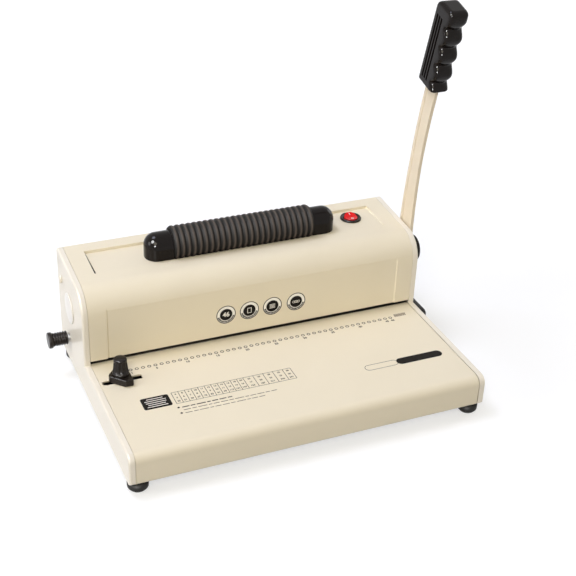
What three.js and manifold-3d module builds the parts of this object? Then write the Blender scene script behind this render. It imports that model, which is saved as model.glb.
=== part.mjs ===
// Desk machine that punches a row of holes along the edge of a stack of sheets with a hand lever,
// and then winds a plastic coil through them with a motor-driven ribbed roller.
// Millimetres, +Z up, X to the operator's right, Y away from the operator.
// While the pieces are made, X = 0 is the middle of the hole row, Y = 0 the front face of the tower
// and Z = 0 the table. At the end the whole group moves until X and Y are centred on it.
import * as THREE from "three";
import { mergeVertices } from "three/addons/utils/BufferGeometryUtils.js";
import Module from "manifold-3d";

const wasm = await Module();
wasm.setup();

// Punching pattern
const HOLE_COUNT = 46;
const HOLE_PITCH = 6.35;
const PIN_DIAMETER = 4;
const PUNCH_TRAVEL = 8;
const PUNCH_SETBACK = 38; // hole row behind the tower's face
const THROAT_HEIGHT = 4.4; // slot that the sheets go into

// Body
const SHEET = 2; // folded steel covers
const SIDE_WALL = 2.5; // moulded side covers
const SIDE_RIM = 6; // width of their rim, seen from the front
const SIDE_EDGE_RADIUS = 2.4;
const FRAME_THICKNESS = 3;
const ROW_END_MARGIN = 21.1; // from the last hole to the inner frame
const FRAME_TO_RIM = 9.5;
const BASE_REACH = 151.7; // base in front of the tower
const BODY_REACH = 98; // body behind the tower's face
const FOOT_HEIGHT = 10;
const BASE_HEIGHT = 33.7;
const BASE_FRONT_RADIUS = 9;
const BASE_BOTTOM_CHAMFER = 4;
const TOWER_FRONT_RADIUS = 27;
const TOWER_REAR_RADIUS = 5;
const TOWER_SLOPE = 4.05; // degrees, rising to the back
const TOP_PANEL_FRONT = 38; // where the level panel in the top begins
const TOP_PANEL_REAR = 80;
const PANEL_SIDE_MARGIN = 24; // from the outside of the body to the ends of the centre panel
const FRONT_PANEL_DEPTH = 0.8;
const REAR_LIP = 14; // tower cover folded down over the back

// Lever
const SHAFT_RADIUS = 8;
const LEVER_SWING = 90; // degrees
const LEVER_BEND_RADIUS = 780;
const LEVER_ARM_HEIGHT = 201; // from the shaft to the grip
const LEVER_THICKNESS = 3.5;
const GRIP_LENGTH = 91.5;

// Coil roller
const ROLLER_RADIUS = 17.2;
const ROLLER_LENGTH = 152.2;
const ROLLER_SETBACK = 53; // axis behind the tower's face
const ROLLER_AXIS_RISE = 12.1; // above the top panel
const ROLLER_RIBS = 25;
const HOUSING_RADIUS = 13.5;
const HOUSING_LENGTH = 27;

// Gaps and mesh detail
const SEAT = 0.3; // between pieces that rest on each other
const RUN = 0.5; // round what turns or slides
const OVERRUN = 1; // how far a cutting solid passes what it cuts
const VERTEX_MERGE = 0.0001;
const ROUND_SIDES = 20;
const KNOB_SIDES = 16;
const SMALL_SIDES = 12;
const HOLE_SIDES = 6;
const FILLET_STEPS = 6;

const paint = (colour, roughness, metalness) =>
  new THREE.MeshStandardMaterial({ color: colour, roughness, metalness });
const creamPaint = paint("#e9dfc8", 0.45, 0);
const blackPlastic = paint("#101011", 0.3, 0);
const blackRubber = paint("#33302d", 0.75, 0);
const redPlastic = paint("#d0161b", 0.3, 0);
const bareSteel = paint("#b4b6b8", 0.35, 1);
const darkSteel = paint("#6e7073", 0.45, 1);
const bronze = paint("#a8783c", 0.4, 1);
const circuitGreen = paint("#1f5b38", 0.6, 0);

const machine = new THREE.Group();

// A closed three.js geometry as a solid that can be joined and cut.
function solid(geometry) {
  const plain = geometry.index ? geometry.toNonIndexed() : geometry.clone();
  plain.deleteAttribute("normal");
  plain.deleteAttribute("uv");
  const merged = mergeVertices(plain, VERTEX_MERGE);
  const vertProperties = merged.attributes.position.array;
  const triVerts = new Uint32Array(merged.index.array);
  return new wasm.Manifold(new wasm.Mesh({ numProp: 3, vertProperties, triVerts }));
}

// Puts a solid into a group as a named mesh.
function add(group, name, shape, material, place = [0, 0, 0]) {
  const { vertProperties, triVerts } = shape.getMesh();
  const indexed = new THREE.BufferGeometry();
  indexed.setAttribute("position", new THREE.BufferAttribute(new Float32Array(vertProperties), 3));
  indexed.setIndex(new THREE.BufferAttribute(new Uint32Array(triVerts), 1));
  const geometry = indexed.toNonIndexed();
  geometry.computeVertexNormals();
  const piece = new THREE.Mesh(geometry, material);
  piece.name = name;
  piece.position.set(...place);
  group.add(piece);
}

// A group whose own origin is a place in the machine, such as a shaft's axis.
function groupAt(parent, x, y, z) {
  const group = new THREE.Group();
  group.position.set(x, y, z);
  parent.add(group);
  return group;
}

// Prisms and turned shapes are drawn in a plane, and their axis then turns to X, Y or Z. The plane's
// two directions are Y and Z for the X axis, Z and X for the Y axis, and X and Y for the Z axis.
const unitX = new THREE.Vector3(1, 0, 0);
const unitY = new THREE.Vector3(0, 1, 0);
const unitZ = new THREE.Vector3(0, 0, 1);
const alongAxis = {
  x: new THREE.Matrix4().makeBasis(unitY, unitZ, unitX),
  y: new THREE.Matrix4().makeBasis(unitZ, unitX, unitY),
  z: new THREE.Matrix4(),
};
const planeShape = (outline) => new THREE.Shape(outline.map(([a, b]) => new THREE.Vector2(a, b)));

function block([x0, x1], [y0, y1], [z0, z1]) {
  const box = new THREE.BoxGeometry(x1 - x0, y1 - y0, z1 - z0);
  return solid(box.translate((x0 + x1) / 2, (y0 + y1) / 2, (z0 + z1) / 2));
}

function prism(axis, outline, [low, high]) {
  const depth = high - low;
  const geometry = new THREE.ExtrudeGeometry(planeShape(outline), { depth, bevelEnabled: false });
  return solid(geometry.translate(0, 0, low).applyMatrix4(alongAxis[axis]));
}

// A prism whose two end faces have rounded edges.
function softPrism(axis, outline, [low, high], radius, bevelSegments) {
  const geometry = new THREE.ExtrudeGeometry(planeShape(outline), {
    depth: high - low - 2 * radius,
    bevelThickness: radius,
    bevelSize: radius,
    bevelOffset: -radius,
    bevelSegments,
  });
  return solid(geometry.translate(0, 0, low + radius).applyMatrix4(alongAxis[axis]));
}

// A shape of revolution. The profile's points are [radius, place along the axis].
function turned(axis, profile, sides, [a, b] = [0, 0]) {
  const geometry = new THREE.LatheGeometry(profile.map(([r, c]) => new THREE.Vector2(r, c)), sides);
  return solid(geometry.rotateX(Math.PI / 2).translate(a, b, 0).applyMatrix4(alongAxis[axis]));
}

function rod(axis, radius, [low, high], sides, centre) {
  const profile = [
    [0, low],
    [radius, low],
    [radius, high],
    [0, high],
  ];
  return turned(axis, profile, sides, centre);
}

function tube(axis, inner, outer, [low, high], sides, centre) {
  const bore = rod(axis, inner, [low - OVERRUN, high + OVERRUN], sides, centre);
  return rod(axis, outer, [low, high], sides, centre).subtract(bore);
}

// Points of an arc from one angle to another, in degrees.
const { degToRad, radToDeg } = THREE.MathUtils;
function arc([a, b], radius, from, to, steps) {
  return Array.from({ length: steps + 1 }, (_, i) => {
    const angle = degToRad(from + ((to - from) * i) / steps);
    return [a + radius * Math.cos(angle), b + radius * Math.sin(angle)];
  });
}

// An outline with flutes round a circle.
function fluted(count, outer, inner) {
  return Array.from({ length: 2 * count }, (_, i) => {
    const radius = i % 2 ? inner : outer;
    const angle = (Math.PI * i) / count;
    return [radius * Math.cos(angle), radius * Math.sin(angle)];
  });
}

const about = (middle, half) => [middle - half, middle + half];
const past = ([low, high]) => [low - OVERRUN, high + OVERRUN];

// Left and right copies: a span of X that is given for the right is mirrored for the left.
const sides = [
  ["left", -1],
  ["right", 1],
];
const onSide = (side, a, b) => (side > 0 ? [a, b] : [-b, -a]);

// Across the machine, from the hole row outwards
const rowHalf = ((HOLE_COUNT - 1) * HOLE_PITCH) / 2;
const frameInner = rowHalf + ROW_END_MARGIN;
const frameOuter = frameInner + FRAME_THICKNESS;
const rimInner = frameOuter + FRAME_TO_RIM;
const bodyHalf = rimInner + SIDE_RIM;
const coverHalf = rimInner - SEAT;
const wallInner = bodyHalf - SIDE_WALL;
const panelHalf = bodyHalf - PANEL_SIDE_MARGIN;

// From front to back
const DIE_AHEAD = 28; // die plate in front of the hole row
const DIE_BEHIND = 12;
const GUIDE_PLATE_HALF = 16;
const HOLDER_HALF = 8;
const dieFront = PUNCH_SETBACK - DIE_AHEAD;
const dieRear = PUNCH_SETBACK + DIE_BEHIND;
const holderRear = PUNCH_SETBACK + HOLDER_HALF;
const frameRear = BODY_REACH - SHEET - SEAT;

// From the table up
const DIE_THICKNESS = 6;
const GUIDE_PLATE_THICKNESS = 6;
const HOLDER_HEIGHT = 12;
const HOLDER_REST_GAP = 0.8; // left under the holder at full stroke
const CAM_BASE_RADIUS = 14;
const FRAME_HEAD = 22; // frame above the shaft
const ROOF_GAP = 10.4;
const floorTop = FOOT_HEIGHT + SHEET;
const onFloor = floorTop + SEAT;
const baseTop = FOOT_HEIGHT + BASE_HEIGHT;
const throatTop = baseTop + THROAT_HEIGHT;
const dieBottom = baseTop - DIE_THICKNESS;
const guidePlateBottom = throatTop + SEAT;
const guidePlateTop = guidePlateBottom + GUIDE_PLATE_THICKNESS;
const holderBottom = guidePlateTop + PUNCH_TRAVEL + HOLDER_REST_GAP;
const holderTop = holderBottom + HOLDER_HEIGHT;
const shaftAt = [PUNCH_SETBACK, holderTop + SEAT + CAM_BASE_RADIUS];
const frameTop = shaftAt[1] + FRAME_HEAD;
const panelFloor = frameTop + ROOF_GAP + SHEET;
const topAt = (y) => panelFloor + (y - TOP_PANEL_FRONT) * Math.tan(degToRad(TOWER_SLOPE));
const bodyTop = topAt(BODY_REACH);

// Outline of the tower from the side, shrunk by an inset, from its front up and over to the rear.
function towerLine(inset) {
  const front = TOWER_FRONT_RADIUS;
  const rear = TOWER_REAR_RADIUS;
  const slope = Math.cos(degToRad(TOWER_SLOPE));
  const frontCentre = [front, topAt(front) - front / slope];
  const rearCentre = [BODY_REACH - rear, topAt(BODY_REACH - rear) - rear / slope];
  return [
    ...arc(frontCentre, front - inset, 180, 90 + TOWER_SLOPE, FILLET_STEPS),
    ...arc(rearCentre, rear - inset, 90 + TOWER_SLOPE, 0, FILLET_STEPS / 2),
  ];
}

// Outline of the base's front from the side, shrunk by an inset, from its top down to its bottom.
function baseFrontLine(inset) {
  const radius = BASE_FRONT_RADIUS;
  const front = inset - BASE_REACH;
  const bottom = FOOT_HEIGHT + inset;
  return [
    ...arc([radius - BASE_REACH, baseTop - radius], radius - inset, 90, 180, FILLET_STEPS),
    [front, bottom + BASE_BOTTOM_CHAMFER],
    [front + BASE_BOTTOM_CHAMFER, bottom],
  ];
}

const sideLine = (inset) => [
  [inset, baseTop - inset],
  ...baseFrontLine(inset),
  [BODY_REACH - inset, FOOT_HEIGHT + inset],
  ...towerLine(inset).reverse(),
];

// Bottom plate and the rubber feet under it

function bottomPlate() {
  const front = SHEET + BASE_BOTTOM_CHAMFER + SEAT - BASE_REACH;
  return block([-coverHalf, coverHalf], [front, BODY_REACH], [FOOT_HEIGHT, floorTop]);
}

const FOOT_RADIUS = 10;
const FOOT_TREAD_RADIUS = 8;
const FOOT_TREAD_EDGE = 1.6;
const FOOT_SHOULDER = 5; // full width from here up
const FOOT_INSET_X = 10.5;
const FOOT_INSET_FRONT = 10.7;
const FOOT_INSET_REAR = 13;
const footX = bodyHalf - FOOT_INSET_X;
const footPlaces = {
  front_left_foot: [-footX, FOOT_INSET_FRONT - BASE_REACH, 0],
  front_right_foot: [footX, FOOT_INSET_FRONT - BASE_REACH, 0],
  rear_left_foot: [-footX, BODY_REACH - FOOT_INSET_REAR, 0],
  rear_right_foot: [footX, BODY_REACH - FOOT_INSET_REAR, 0],
};

function foot() {
  const top = FOOT_HEIGHT - SEAT;
  const profile = [
    [0, 0],
    [FOOT_TREAD_RADIUS - FOOT_TREAD_EDGE, 0],
    [FOOT_TREAD_RADIUS, FOOT_TREAD_EDGE],
    [FOOT_RADIUS, FOOT_SHOULDER],
    [FOOT_RADIUS, top],
    [0, top],
  ];
  return turned("z", profile, ROUND_SIDES);
}

// Waste tray, which stands on the bottom plate under the die and comes out to the right

const TRAY_AHEAD = 22; // tray in front of the die plate
const TRAY_WALL = 1.5;
const TRAY_HEIGHT = 25;
const TRAY_LEFT_GAP = 8;
const PULL_THICKNESS = 10.8;
const PULL_LIP = 2; // the pull is larger than the tray by this
const PULL_RADIUS = 7;
const PULL_EDGE_RADIUS = 5;
const trayFront = dieFront - TRAY_AHEAD;
const trayRear = dieRear;
const trayTop = onFloor + TRAY_HEIGHT;

function wasteTray() {
  const [left, right] = [TRAY_LEFT_GAP - frameInner, bodyHalf];
  const bottom = onFloor + TRAY_WALL;
  const hollow = block(
    [left + TRAY_WALL, right - TRAY_WALL],
    [trayFront + TRAY_WALL, trayRear - TRAY_WALL],
    [bottom, trayTop + OVERRUN],
  );
  return block([left, right], [trayFront, trayRear], [onFloor, trayTop]).subtract(hollow);
}

function trayPull() {
  const [front, rear] = [trayFront - PULL_LIP, trayRear + PULL_LIP];
  const top = trayTop + PULL_LIP;
  const face = [
    [rear, onFloor],
    ...arc([rear - PULL_RADIUS, top - PULL_RADIUS], PULL_RADIUS, 0, 90, FILLET_STEPS),
    ...arc([front + PULL_RADIUS, top - PULL_RADIUS], PULL_RADIUS, 90, 180, FILLET_STEPS),
    [front, onFloor],
  ];
  const inside = bodyHalf + SEAT;
  const outside = inside + PULL_THICKNESS;
  const bar = softPrism("x", face, [inside - PULL_THICKNESS, outside], PULL_EDGE_RADIUS, 3);
  return bar.intersect(block([inside, outside + OVERRUN], past([front, rear]), past([onFloor, top])));
}

// Back stop, which sets the distance from the sheets' edge to the holes, and the shaft that moves it

const STOP_SETBACK = 4.5; // stop face behind the hole row, at mid setting
const STOP_TRAVEL = 1.8; // each way
const STOP_DEPTH = 4;
const STOP_LENGTH = 296;
const STOP_PAD_DEPTH = 3.5;
const STOP_PAD_DROP = 2.6; // bottom of the pads below the shaft's axis
const STOP_ARM_WIDTH = 12;
const MARGIN_SHAFT_RADIUS = 3;
const MARGIN_SHAFT_DROP = 2.9; // axis below the base's top
const MARGIN_TURN = 90; // degrees each way
const MARGIN_CAM_RADIUS = 6;
const MARGIN_CAM_WIDTH = 6;
const MARGIN_CAM_X = 120;
const MARGIN_KNOB_GAP = 2;
const MARGIN_KNOB_LENGTH = 20;
const MARGIN_KNOB_RADIUS = 7.2;
const MARGIN_KNOB_BORE_DEPTH = 10;
const MARGIN_KNOB_RIBS = 6;
const MARGIN_KNOB_GROOVE = 1;
const MARGIN_FLANGE_RADIUS = 8.4;
const MARGIN_FLANGE_WIDTH = 4.5;
const MARGIN_FLANGE_EDGE = 1.1;
const padFront = dieRear + STOP_TRAVEL + RUN;
const padRear = padFront + STOP_PAD_DEPTH;
const marginAt = [padRear + SEAT + MARGIN_CAM_RADIUS, baseTop - MARGIN_SHAFT_DROP];
const knobInner = -(bodyHalf + MARGIN_KNOB_GAP);

function backStop() {
  const [bottom, top] = [baseTop + SEAT, throatTop - SEAT];
  const front = PUNCH_SETBACK + STOP_SETBACK;
  let stop = block(about(0, STOP_LENGTH / 2), [front, front + STOP_DEPTH], [bottom, top]);
  [-MARGIN_CAM_X, MARGIN_CAM_X].forEach((x) => {
    const width = about(x, STOP_ARM_WIDTH / 2);
    const arm = block(width, [front + STOP_DEPTH / 2, padRear], [bottom, top]);
    const pad = block(width, [padFront, padRear], [marginAt[1] - STOP_PAD_DROP, top]);
    stop = stop.add(arm).add(pad);
  });
  return stop;
}

// A cam whose flat follower moves in step with the cam's angle. Its points are written for the angle
// that brings them to the contact line, which lies at contactAngle in the outline's plane.
const CAM_STEPS = 12;
const CAM_FLANK = 60; // degrees from the nose back to the base circle
function camLine(baseRadius, risePerRadian, contactAngle, [from, to]) {
  const rise = Array.from({ length: CAM_STEPS + 1 }, (_, i) => {
    const swept = degToRad(from + ((to - from) * i) / CAM_STEPS);
    const reach = baseRadius + risePerRadian * swept;
    const angle = degToRad(contactAngle) - swept;
    const [cosine, sine] = [Math.cos(angle), Math.sin(angle)];
    return [reach * cosine + risePerRadian * sine, reach * sine - risePerRadian * cosine];
  });
  const backRadius = baseRadius + risePerRadian * degToRad(from);
  const backEnds = [contactAngle - to - CAM_FLANK, contactAngle - from - 360];
  return [...rise, ...arc([0, 0], backRadius, ...backEnds, CAM_STEPS)].reverse();
}

function marginCam(x) {
  const width = about(x, MARGIN_CAM_WIDTH / 2);
  const rise = STOP_TRAVEL / degToRad(MARGIN_TURN);
  const turn = MARGIN_TURN + CAM_OVERSWING;
  const disc = prism("x", camLine(MARGIN_CAM_RADIUS, rise, 180, [-turn, turn]), width);
  return disc.subtract(rod("x", MARGIN_SHAFT_RADIUS + SEAT, past(width), SMALL_SIDES));
}

function marginShaft() {
  const left = knobInner - MARGIN_KNOB_BORE_DEPTH;
  return rod("x", MARGIN_SHAFT_RADIUS, [left, frameOuter], SMALL_SIDES);
}

function marginKnob() {
  const outer = knobInner - MARGIN_KNOB_LENGTH;
  const neck = outer + MARGIN_FLANGE_WIDTH;
  const pitch = (knobInner - neck) / MARGIN_KNOB_RIBS;
  const ribs = Array.from({ length: MARGIN_KNOB_RIBS }, (_, i) => [
    [MARGIN_KNOB_RADIUS - MARGIN_KNOB_GROOVE, neck + i * pitch],
    [MARGIN_KNOB_RADIUS, neck + (i + 1 / 2) * pitch],
  ]);
  const bore = MARGIN_SHAFT_RADIUS + SEAT;
  const boreEnd = knobInner - MARGIN_KNOB_BORE_DEPTH - SEAT;
  const profile = [
    [0, outer],
    [MARGIN_FLANGE_RADIUS - MARGIN_FLANGE_EDGE, outer],
    [MARGIN_FLANGE_RADIUS, outer + MARGIN_FLANGE_EDGE],
    [MARGIN_FLANGE_RADIUS, neck - MARGIN_FLANGE_EDGE],
    ...ribs.flat(),
    [MARGIN_KNOB_RADIUS - MARGIN_KNOB_GROOVE, knobInner],
    [bore, knobInner],
    [bore, boreEnd],
    [0, boreEnd],
  ];
  return turned("x", profile, KNOB_SIDES);
}

// Punch bar with its pins, the plate that guides them and the die that they enter

const PIN_REST_GAP = 0.8; // from the throat's roof to the pins' tips at rest
const SPRING_RADIUS = 4;
const SPRING_WIRE = 1.2;
const SPRING_LENGTH = 26;
const SPRING_TURNS = 6;
const SPRING_STEPS = 8; // to a turn
const SPRING_SIDES = 5;
const SPRING_PAST_ROW = 8.5;
const SPRING_BEHIND_HOLDER = 6.2;
const EAR_THICKNESS = 5;
const earHalf = SPRING_RADIUS + SPRING_WIRE;
const springX = rowHalf + SPRING_PAST_ROW;
const springY = holderRear + SPRING_BEHIND_HOLDER;
const springLow = holderTop + SEAT;
const springHigh = springLow + SPRING_LENGTH;

function pinRow(radius, span) {
  const pins = Array.from({ length: HOLE_COUNT }, (_, i) => {
    const x = i * HOLE_PITCH - rowHalf;
    return rod("z", radius, span, HOLE_SIDES, [x, PUNCH_SETBACK]);
  });
  return wasm.Manifold.union(pins);
}

function drilledPlate([front, rear], [bottom, top]) {
  const half = frameInner - SEAT;
  const holes = pinRow(PIN_DIAMETER / 2 + SEAT, past([bottom, top]));
  return block([-half, half], [front, rear], [bottom, top]).subtract(holes);
}

const diePlate = () => drilledPlate([dieFront, dieRear], [dieBottom, baseTop]);
const pinGuidePlate = () =>
  drilledPlate(about(PUNCH_SETBACK, GUIDE_PLATE_HALF), [guidePlateBottom, guidePlateTop]);

function punchBar() {
  const half = frameInner - SEAT - RUN;
  const holder = block([-half, half], about(PUNCH_SETBACK, HOLDER_HALF), [holderBottom, holderTop]);
  const pins = pinRow(PIN_DIAMETER / 2, [throatTop + PIN_REST_GAP, holderBottom + OVERRUN]);
  const ears = [-springX, springX].map((x) =>
    block(
      about(x, earHalf),
      [holderRear - OVERRUN, springY + earHalf],
      [holderTop - EAR_THICKNESS, holderTop],
    ),
  );
  return holder.add(pins).add(ears[0]).add(ears[1]);
}

// The least distance between surface points of the wire that are a turn or more apart.
function leastGap(positions) {
  const ringStride = 3 * SPRING_SIDES;
  let least = Infinity;
  for (let i = 0; i < positions.length; i += 3) {
    for (let j = i + ringStride * (SPRING_STEPS - 1); j < positions.length; j += 3) {
      const away = [0, 1, 2].map((k) => positions[i + k] - positions[j + k]);
      least = Math.min(least, Math.hypot(...away));
    }
  }
  return least;
}

// A coil spring on the Z axis as one unbroken wire.
function returnSpring() {
  const rings = SPRING_TURNS * SPRING_STEPS;
  const wire = SPRING_WIRE / 2;
  const climb = SPRING_LENGTH - SPRING_WIRE;
  const positions = [];
  for (let i = 0; i <= rings; i += 1) {
    const turn = (2 * Math.PI * i) / SPRING_STEPS;
    for (let k = 0; k < SPRING_SIDES; k += 1) {
      const round = (2 * Math.PI * k) / SPRING_SIDES;
      const reach = SPRING_RADIUS - wire + wire * Math.cos(round);
      const z = wire + (climb * i) / rings + wire * Math.sin(round);
      positions.push(reach * Math.cos(turn), reach * Math.sin(turn), z);
    }
  }
  const last = rings * SPRING_SIDES;
  const index = [];
  for (let i = 0; i < last; i += SPRING_SIDES) {
    for (let k = 0; k < SPRING_SIDES; k += 1) {
      const [a, b] = [i + k, i + ((k + 1) % SPRING_SIDES)];
      index.push(a, a + SPRING_SIDES, b, b, a + SPRING_SIDES, b + SPRING_SIDES);
    }
  }
  for (let k = 1; k < SPRING_SIDES - 1; k += 1) {
    index.push(0, k, k + 1, last, last + k + 1, last + k);
  }
  console.log("least gap of a return spring to itself, mm:", leastGap(positions).toFixed(2));
  const geometry = new THREE.BufferGeometry();
  geometry.setAttribute("position", new THREE.Float32BufferAttribute(positions, 3));
  geometry.setIndex(index);
  return solid(geometry);
}

// Lever shaft with its cams and bearings

const SHAFT_PAST_LEVER = 6;
const BEARING_WALL = 3.5;
const BEARING_RIM = 2;
const BEARING_RIM_WIDTH = 3;
const BEARING_PAST_FRAME = 3;
const CAM_WIDTH = 10;
const CAM_X = 110;
const CAM_OVERSWING = 8; // degrees of cam past the lever's range
const LEVER_SPACER = 1.2;
const bearingOuter = SHAFT_RADIUS + SEAT + BEARING_WALL;
const leverInner = bodyHalf + LEVER_SPACER + 2 * SEAT;
const leverOuter = leverInner + LEVER_THICKNESS;
const shaftBore = (span) => rod("x", SHAFT_RADIUS + SEAT, span, ROUND_SIDES);

function mainShaft() {
  const ends = [-(frameOuter + BEARING_PAST_FRAME), leverOuter + SHAFT_PAST_LEVER];
  return rod("x", SHAFT_RADIUS, ends, ROUND_SIDES);
}

function punchCam(x) {
  const width = about(x, CAM_WIDTH / 2);
  const rise = PUNCH_TRAVEL / degToRad(LEVER_SWING);
  const line = camLine(CAM_BASE_RADIUS, rise, -90, [0, LEVER_SWING + CAM_OVERSWING]);
  return prism("x", line, width).subtract(shaftBore(past(width)));
}

function bearing(side) {
  const collarOuter = frameInner - SEAT;
  const collarInner = collarOuter - BEARING_RIM_WIDTH;
  const collar = rod(
    "x", bearingOuter + BEARING_RIM, onSide(side, collarInner, collarOuter), ROUND_SIDES,
  );
  const whole = onSide(side, collarInner, frameOuter + BEARING_PAST_FRAME);
  return rod("x", bearingOuter, whole, ROUND_SIDES).add(collar).subtract(shaftBore(past(whole)));
}

// Lever, drawn round the shaft's axis: a bent flat bar that leans forward

const LEVER_FOOT_RADIUS = 14;
const LEVER_FOOT_HALF = 13;
const LEVER_TOP_HALF = 9.8;
const LEVER_TAPER_SHARE = 0.53; // of the bar's bend, from the foot up
const LEVER_STEPS = 12;
const LEVER_TANG = 60; // narrow end of the bar, inside the grip
const LEVER_TANG_HALF = 6;
const CAP_RADIUS = 15;
const CAP_LENGTH = 11.4;
const CAP_EDGE = 1.5;
const CAP_FLUTES = 32;
const CAP_FLUTE_DEPTH = 0.7;
const GRIP_THICKNESS = 18.5;
const GRIP_HALF_WIDTH = 14;
const GRIP_EDGE_RADIUS = 2.4;
const GRIP_BACK_RADIUS = 8;
const GRIP_FRONT_RADIUS = 4;
const GRIP_GROOVES = 4;
const GRIP_GROOVE_DEPTH = 4.5;
const GRIP_GROOVE_SHARE = 0.92; // of the grooves' pitch
const leverBend = Math.asin(LEVER_ARM_HEIGHT / LEVER_BEND_RADIUS);

// A place beside the bar's middle line at an angle of its bend, moved along from there.
function onLever(bend, aside, along) {
  const [sine, cosine] = [Math.sin(bend), Math.cos(bend)];
  return [
    LEVER_BEND_RADIUS * (cosine - 1) + aside * cosine - along * sine,
    LEVER_BEND_RADIUS * sine + aside * sine + along * cosine,
  ];
}

// One edge of the bar, which narrows in its lower half and again where it enters the grip.
function barEdge(side) {
  const bend = Array.from({ length: LEVER_STEPS }, (_, i) => {
    const share = (i + 1) / LEVER_STEPS;
    const taper = Math.min(1, share / LEVER_TAPER_SHARE);
    const half = LEVER_FOOT_HALF + (LEVER_TOP_HALF - LEVER_FOOT_HALF) * taper;
    return onLever(leverBend * share, side * half, share < 1 ? 0 : -SEAT);
  });
  return [
    ...bend,
    onLever(leverBend, side * LEVER_TANG_HALF, -SEAT),
    onLever(leverBend, side * LEVER_TANG_HALF, LEVER_TANG),
  ];
}

function leverArm() {
  const bottom = arc([0, 0], LEVER_FOOT_RADIUS, 180, 360, 2 * FILLET_STEPS);
  const outline = [...bottom, ...barEdge(1), ...barEdge(-1).reverse()];
  const thickness = [leverInner, leverOuter];
  return prism("x", outline, thickness).subtract(shaftBore(past(thickness)));
}

const leverSpacer = () =>
  tube("x", SHAFT_RADIUS + SEAT, LEVER_FOOT_HALF, [bodyHalf + SEAT, leverInner - SEAT], ROUND_SIDES);

function leverCap() {
  const inner = leverOuter + SEAT;
  const outer = inner + CAP_LENGTH;
  const boreEnd = leverOuter + SHAFT_PAST_LEVER + SEAT;
  const profile = [
    [0, boreEnd],
    [SHAFT_RADIUS + SEAT, boreEnd],
    [SHAFT_RADIUS + SEAT, inner],
    [CAP_RADIUS, inner],
    [CAP_RADIUS, outer - CAP_EDGE],
    [CAP_RADIUS - CAP_EDGE, outer],
    [0, outer],
  ];
  const flutes = fluted(CAP_FLUTES, CAP_RADIUS, CAP_RADIUS - CAP_FLUTE_DEPTH);
  const knurl = prism("x", flutes, past([inner, outer]));
  return turned("x", profile, ROUND_SIDES).intersect(knurl);
}

function leverGrip() {
  const thickness = about((leverInner + leverOuter) / 2, GRIP_THICKNESS / 2);
  const [half, length] = [GRIP_HALF_WIDTH, GRIP_LENGTH];
  const [back, front] = [GRIP_BACK_RADIUS, GRIP_FRONT_RADIUS];
  const face = [
    [-half, 0],
    [half, 0],
    ...arc([half - back, length - back], back, 0, 90, FILLET_STEPS),
    ...arc([front - half, length - front], front, 90, 180, FILLET_STEPS / 2),
  ].map(([aside, along]) => onLever(leverBend, aside, along));
  const slotHalf = LEVER_TANG_HALF + SEAT;
  const slot = [
    onLever(leverBend, -slotHalf, -OVERRUN),
    onLever(leverBend, slotHalf, -OVERRUN),
    onLever(leverBend, slotHalf, LEVER_TANG + SEAT),
    onLever(leverBend, -slotHalf, LEVER_TANG + SEAT),
  ];
  let grip = softPrism("x", face, thickness, GRIP_EDGE_RADIUS, 2);
  grip = grip.subtract(prism("x", slot, [leverInner - SEAT, leverOuter + SEAT]));
  const pitch = (length - front) / GRIP_GROOVES;
  const grooveHalf = (pitch * GRIP_GROOVE_SHARE) / 2;
  const radius = (grooveHalf ** 2 + GRIP_GROOVE_DEPTH ** 2) / (2 * GRIP_GROOVE_DEPTH);
  for (let i = 0; i < GRIP_GROOVES; i += 1) {
    const centre = onLever(leverBend, GRIP_GROOVE_DEPTH - radius - half, (i + 1 / 2) * pitch);
    grip = grip.subtract(rod("x", radius, past(thickness), ROUND_SIDES, centre));
  }
  return grip;
}

// Inner frames, which stand on the bottom plate and carry the die, the shafts and the springs' tops

const FRAME_LEG_GAP = 3.5; // from the tray to the frame's rear leg
const TAB_THICKNESS = 3;
const SCREW_RADIUS = 2;
const SCREW_HEAD_RADIUS = 4;
const SCREW_HEAD = 1.8;
const SCREW_POST_RADIUS = 4.5;
const SCREW_INSET_Y = 14;
const SCREW_INSET_Z = 13;
const screwY = frameRear - SCREW_INSET_Y;
const screwPlaces = [
  ["low", [screwY, floorTop + SCREW_INSET_Z]],
  ["high", [screwY, frameTop - SCREW_INSET_Z]],
];

function sideFrame(side) {
  const wall = onSide(side, frameInner, frameOuter);
  const legFront = trayRear + FRAME_LEG_GAP;
  const outline = [
    [legFront, onFloor],
    [frameRear, onFloor],
    [frameRear, frameTop],
    [dieFront, frameTop],
    [dieFront, trayTop + RUN],
    [legFront, trayTop + RUN],
  ];
  const tab = block(
    onSide(side, springX - earHalf, frameOuter),
    about(springY, earHalf),
    [springHigh + SEAT, springHigh + SEAT + TAB_THICKNESS],
  );
  let frame = prism("x", outline, wall)
    .subtract(rod("x", bearingOuter + SEAT, past(wall), ROUND_SIDES, shaftAt))
    .subtract(rod("x", MARGIN_SHAFT_RADIUS + SEAT, past(wall), SMALL_SIDES, marginAt));
  screwPlaces.forEach(([, place]) => {
    frame = frame.subtract(rod("x", SCREW_RADIUS + SEAT, past(wall), SMALL_SIDES, place));
  });
  return frame.add(tab);
}

// Side covers, screwed to the frames through posts

const PLUG_RADIUS = 16;
const PLUG_THICKNESS = 1;
const PLUG_EDGE = 0.5;
const PLUG_STUB_RADIUS = 5;
const PLUG_STUB_PAST_WALL = 1.5;
const PLUG_SETBACK = 51.7; // behind the tower's face
const PLUG_BELOW_SHAFT = 8.3;
const plugAt = [PLUG_SETBACK, shaftAt[1] - PLUG_BELOW_SHAFT];

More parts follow.
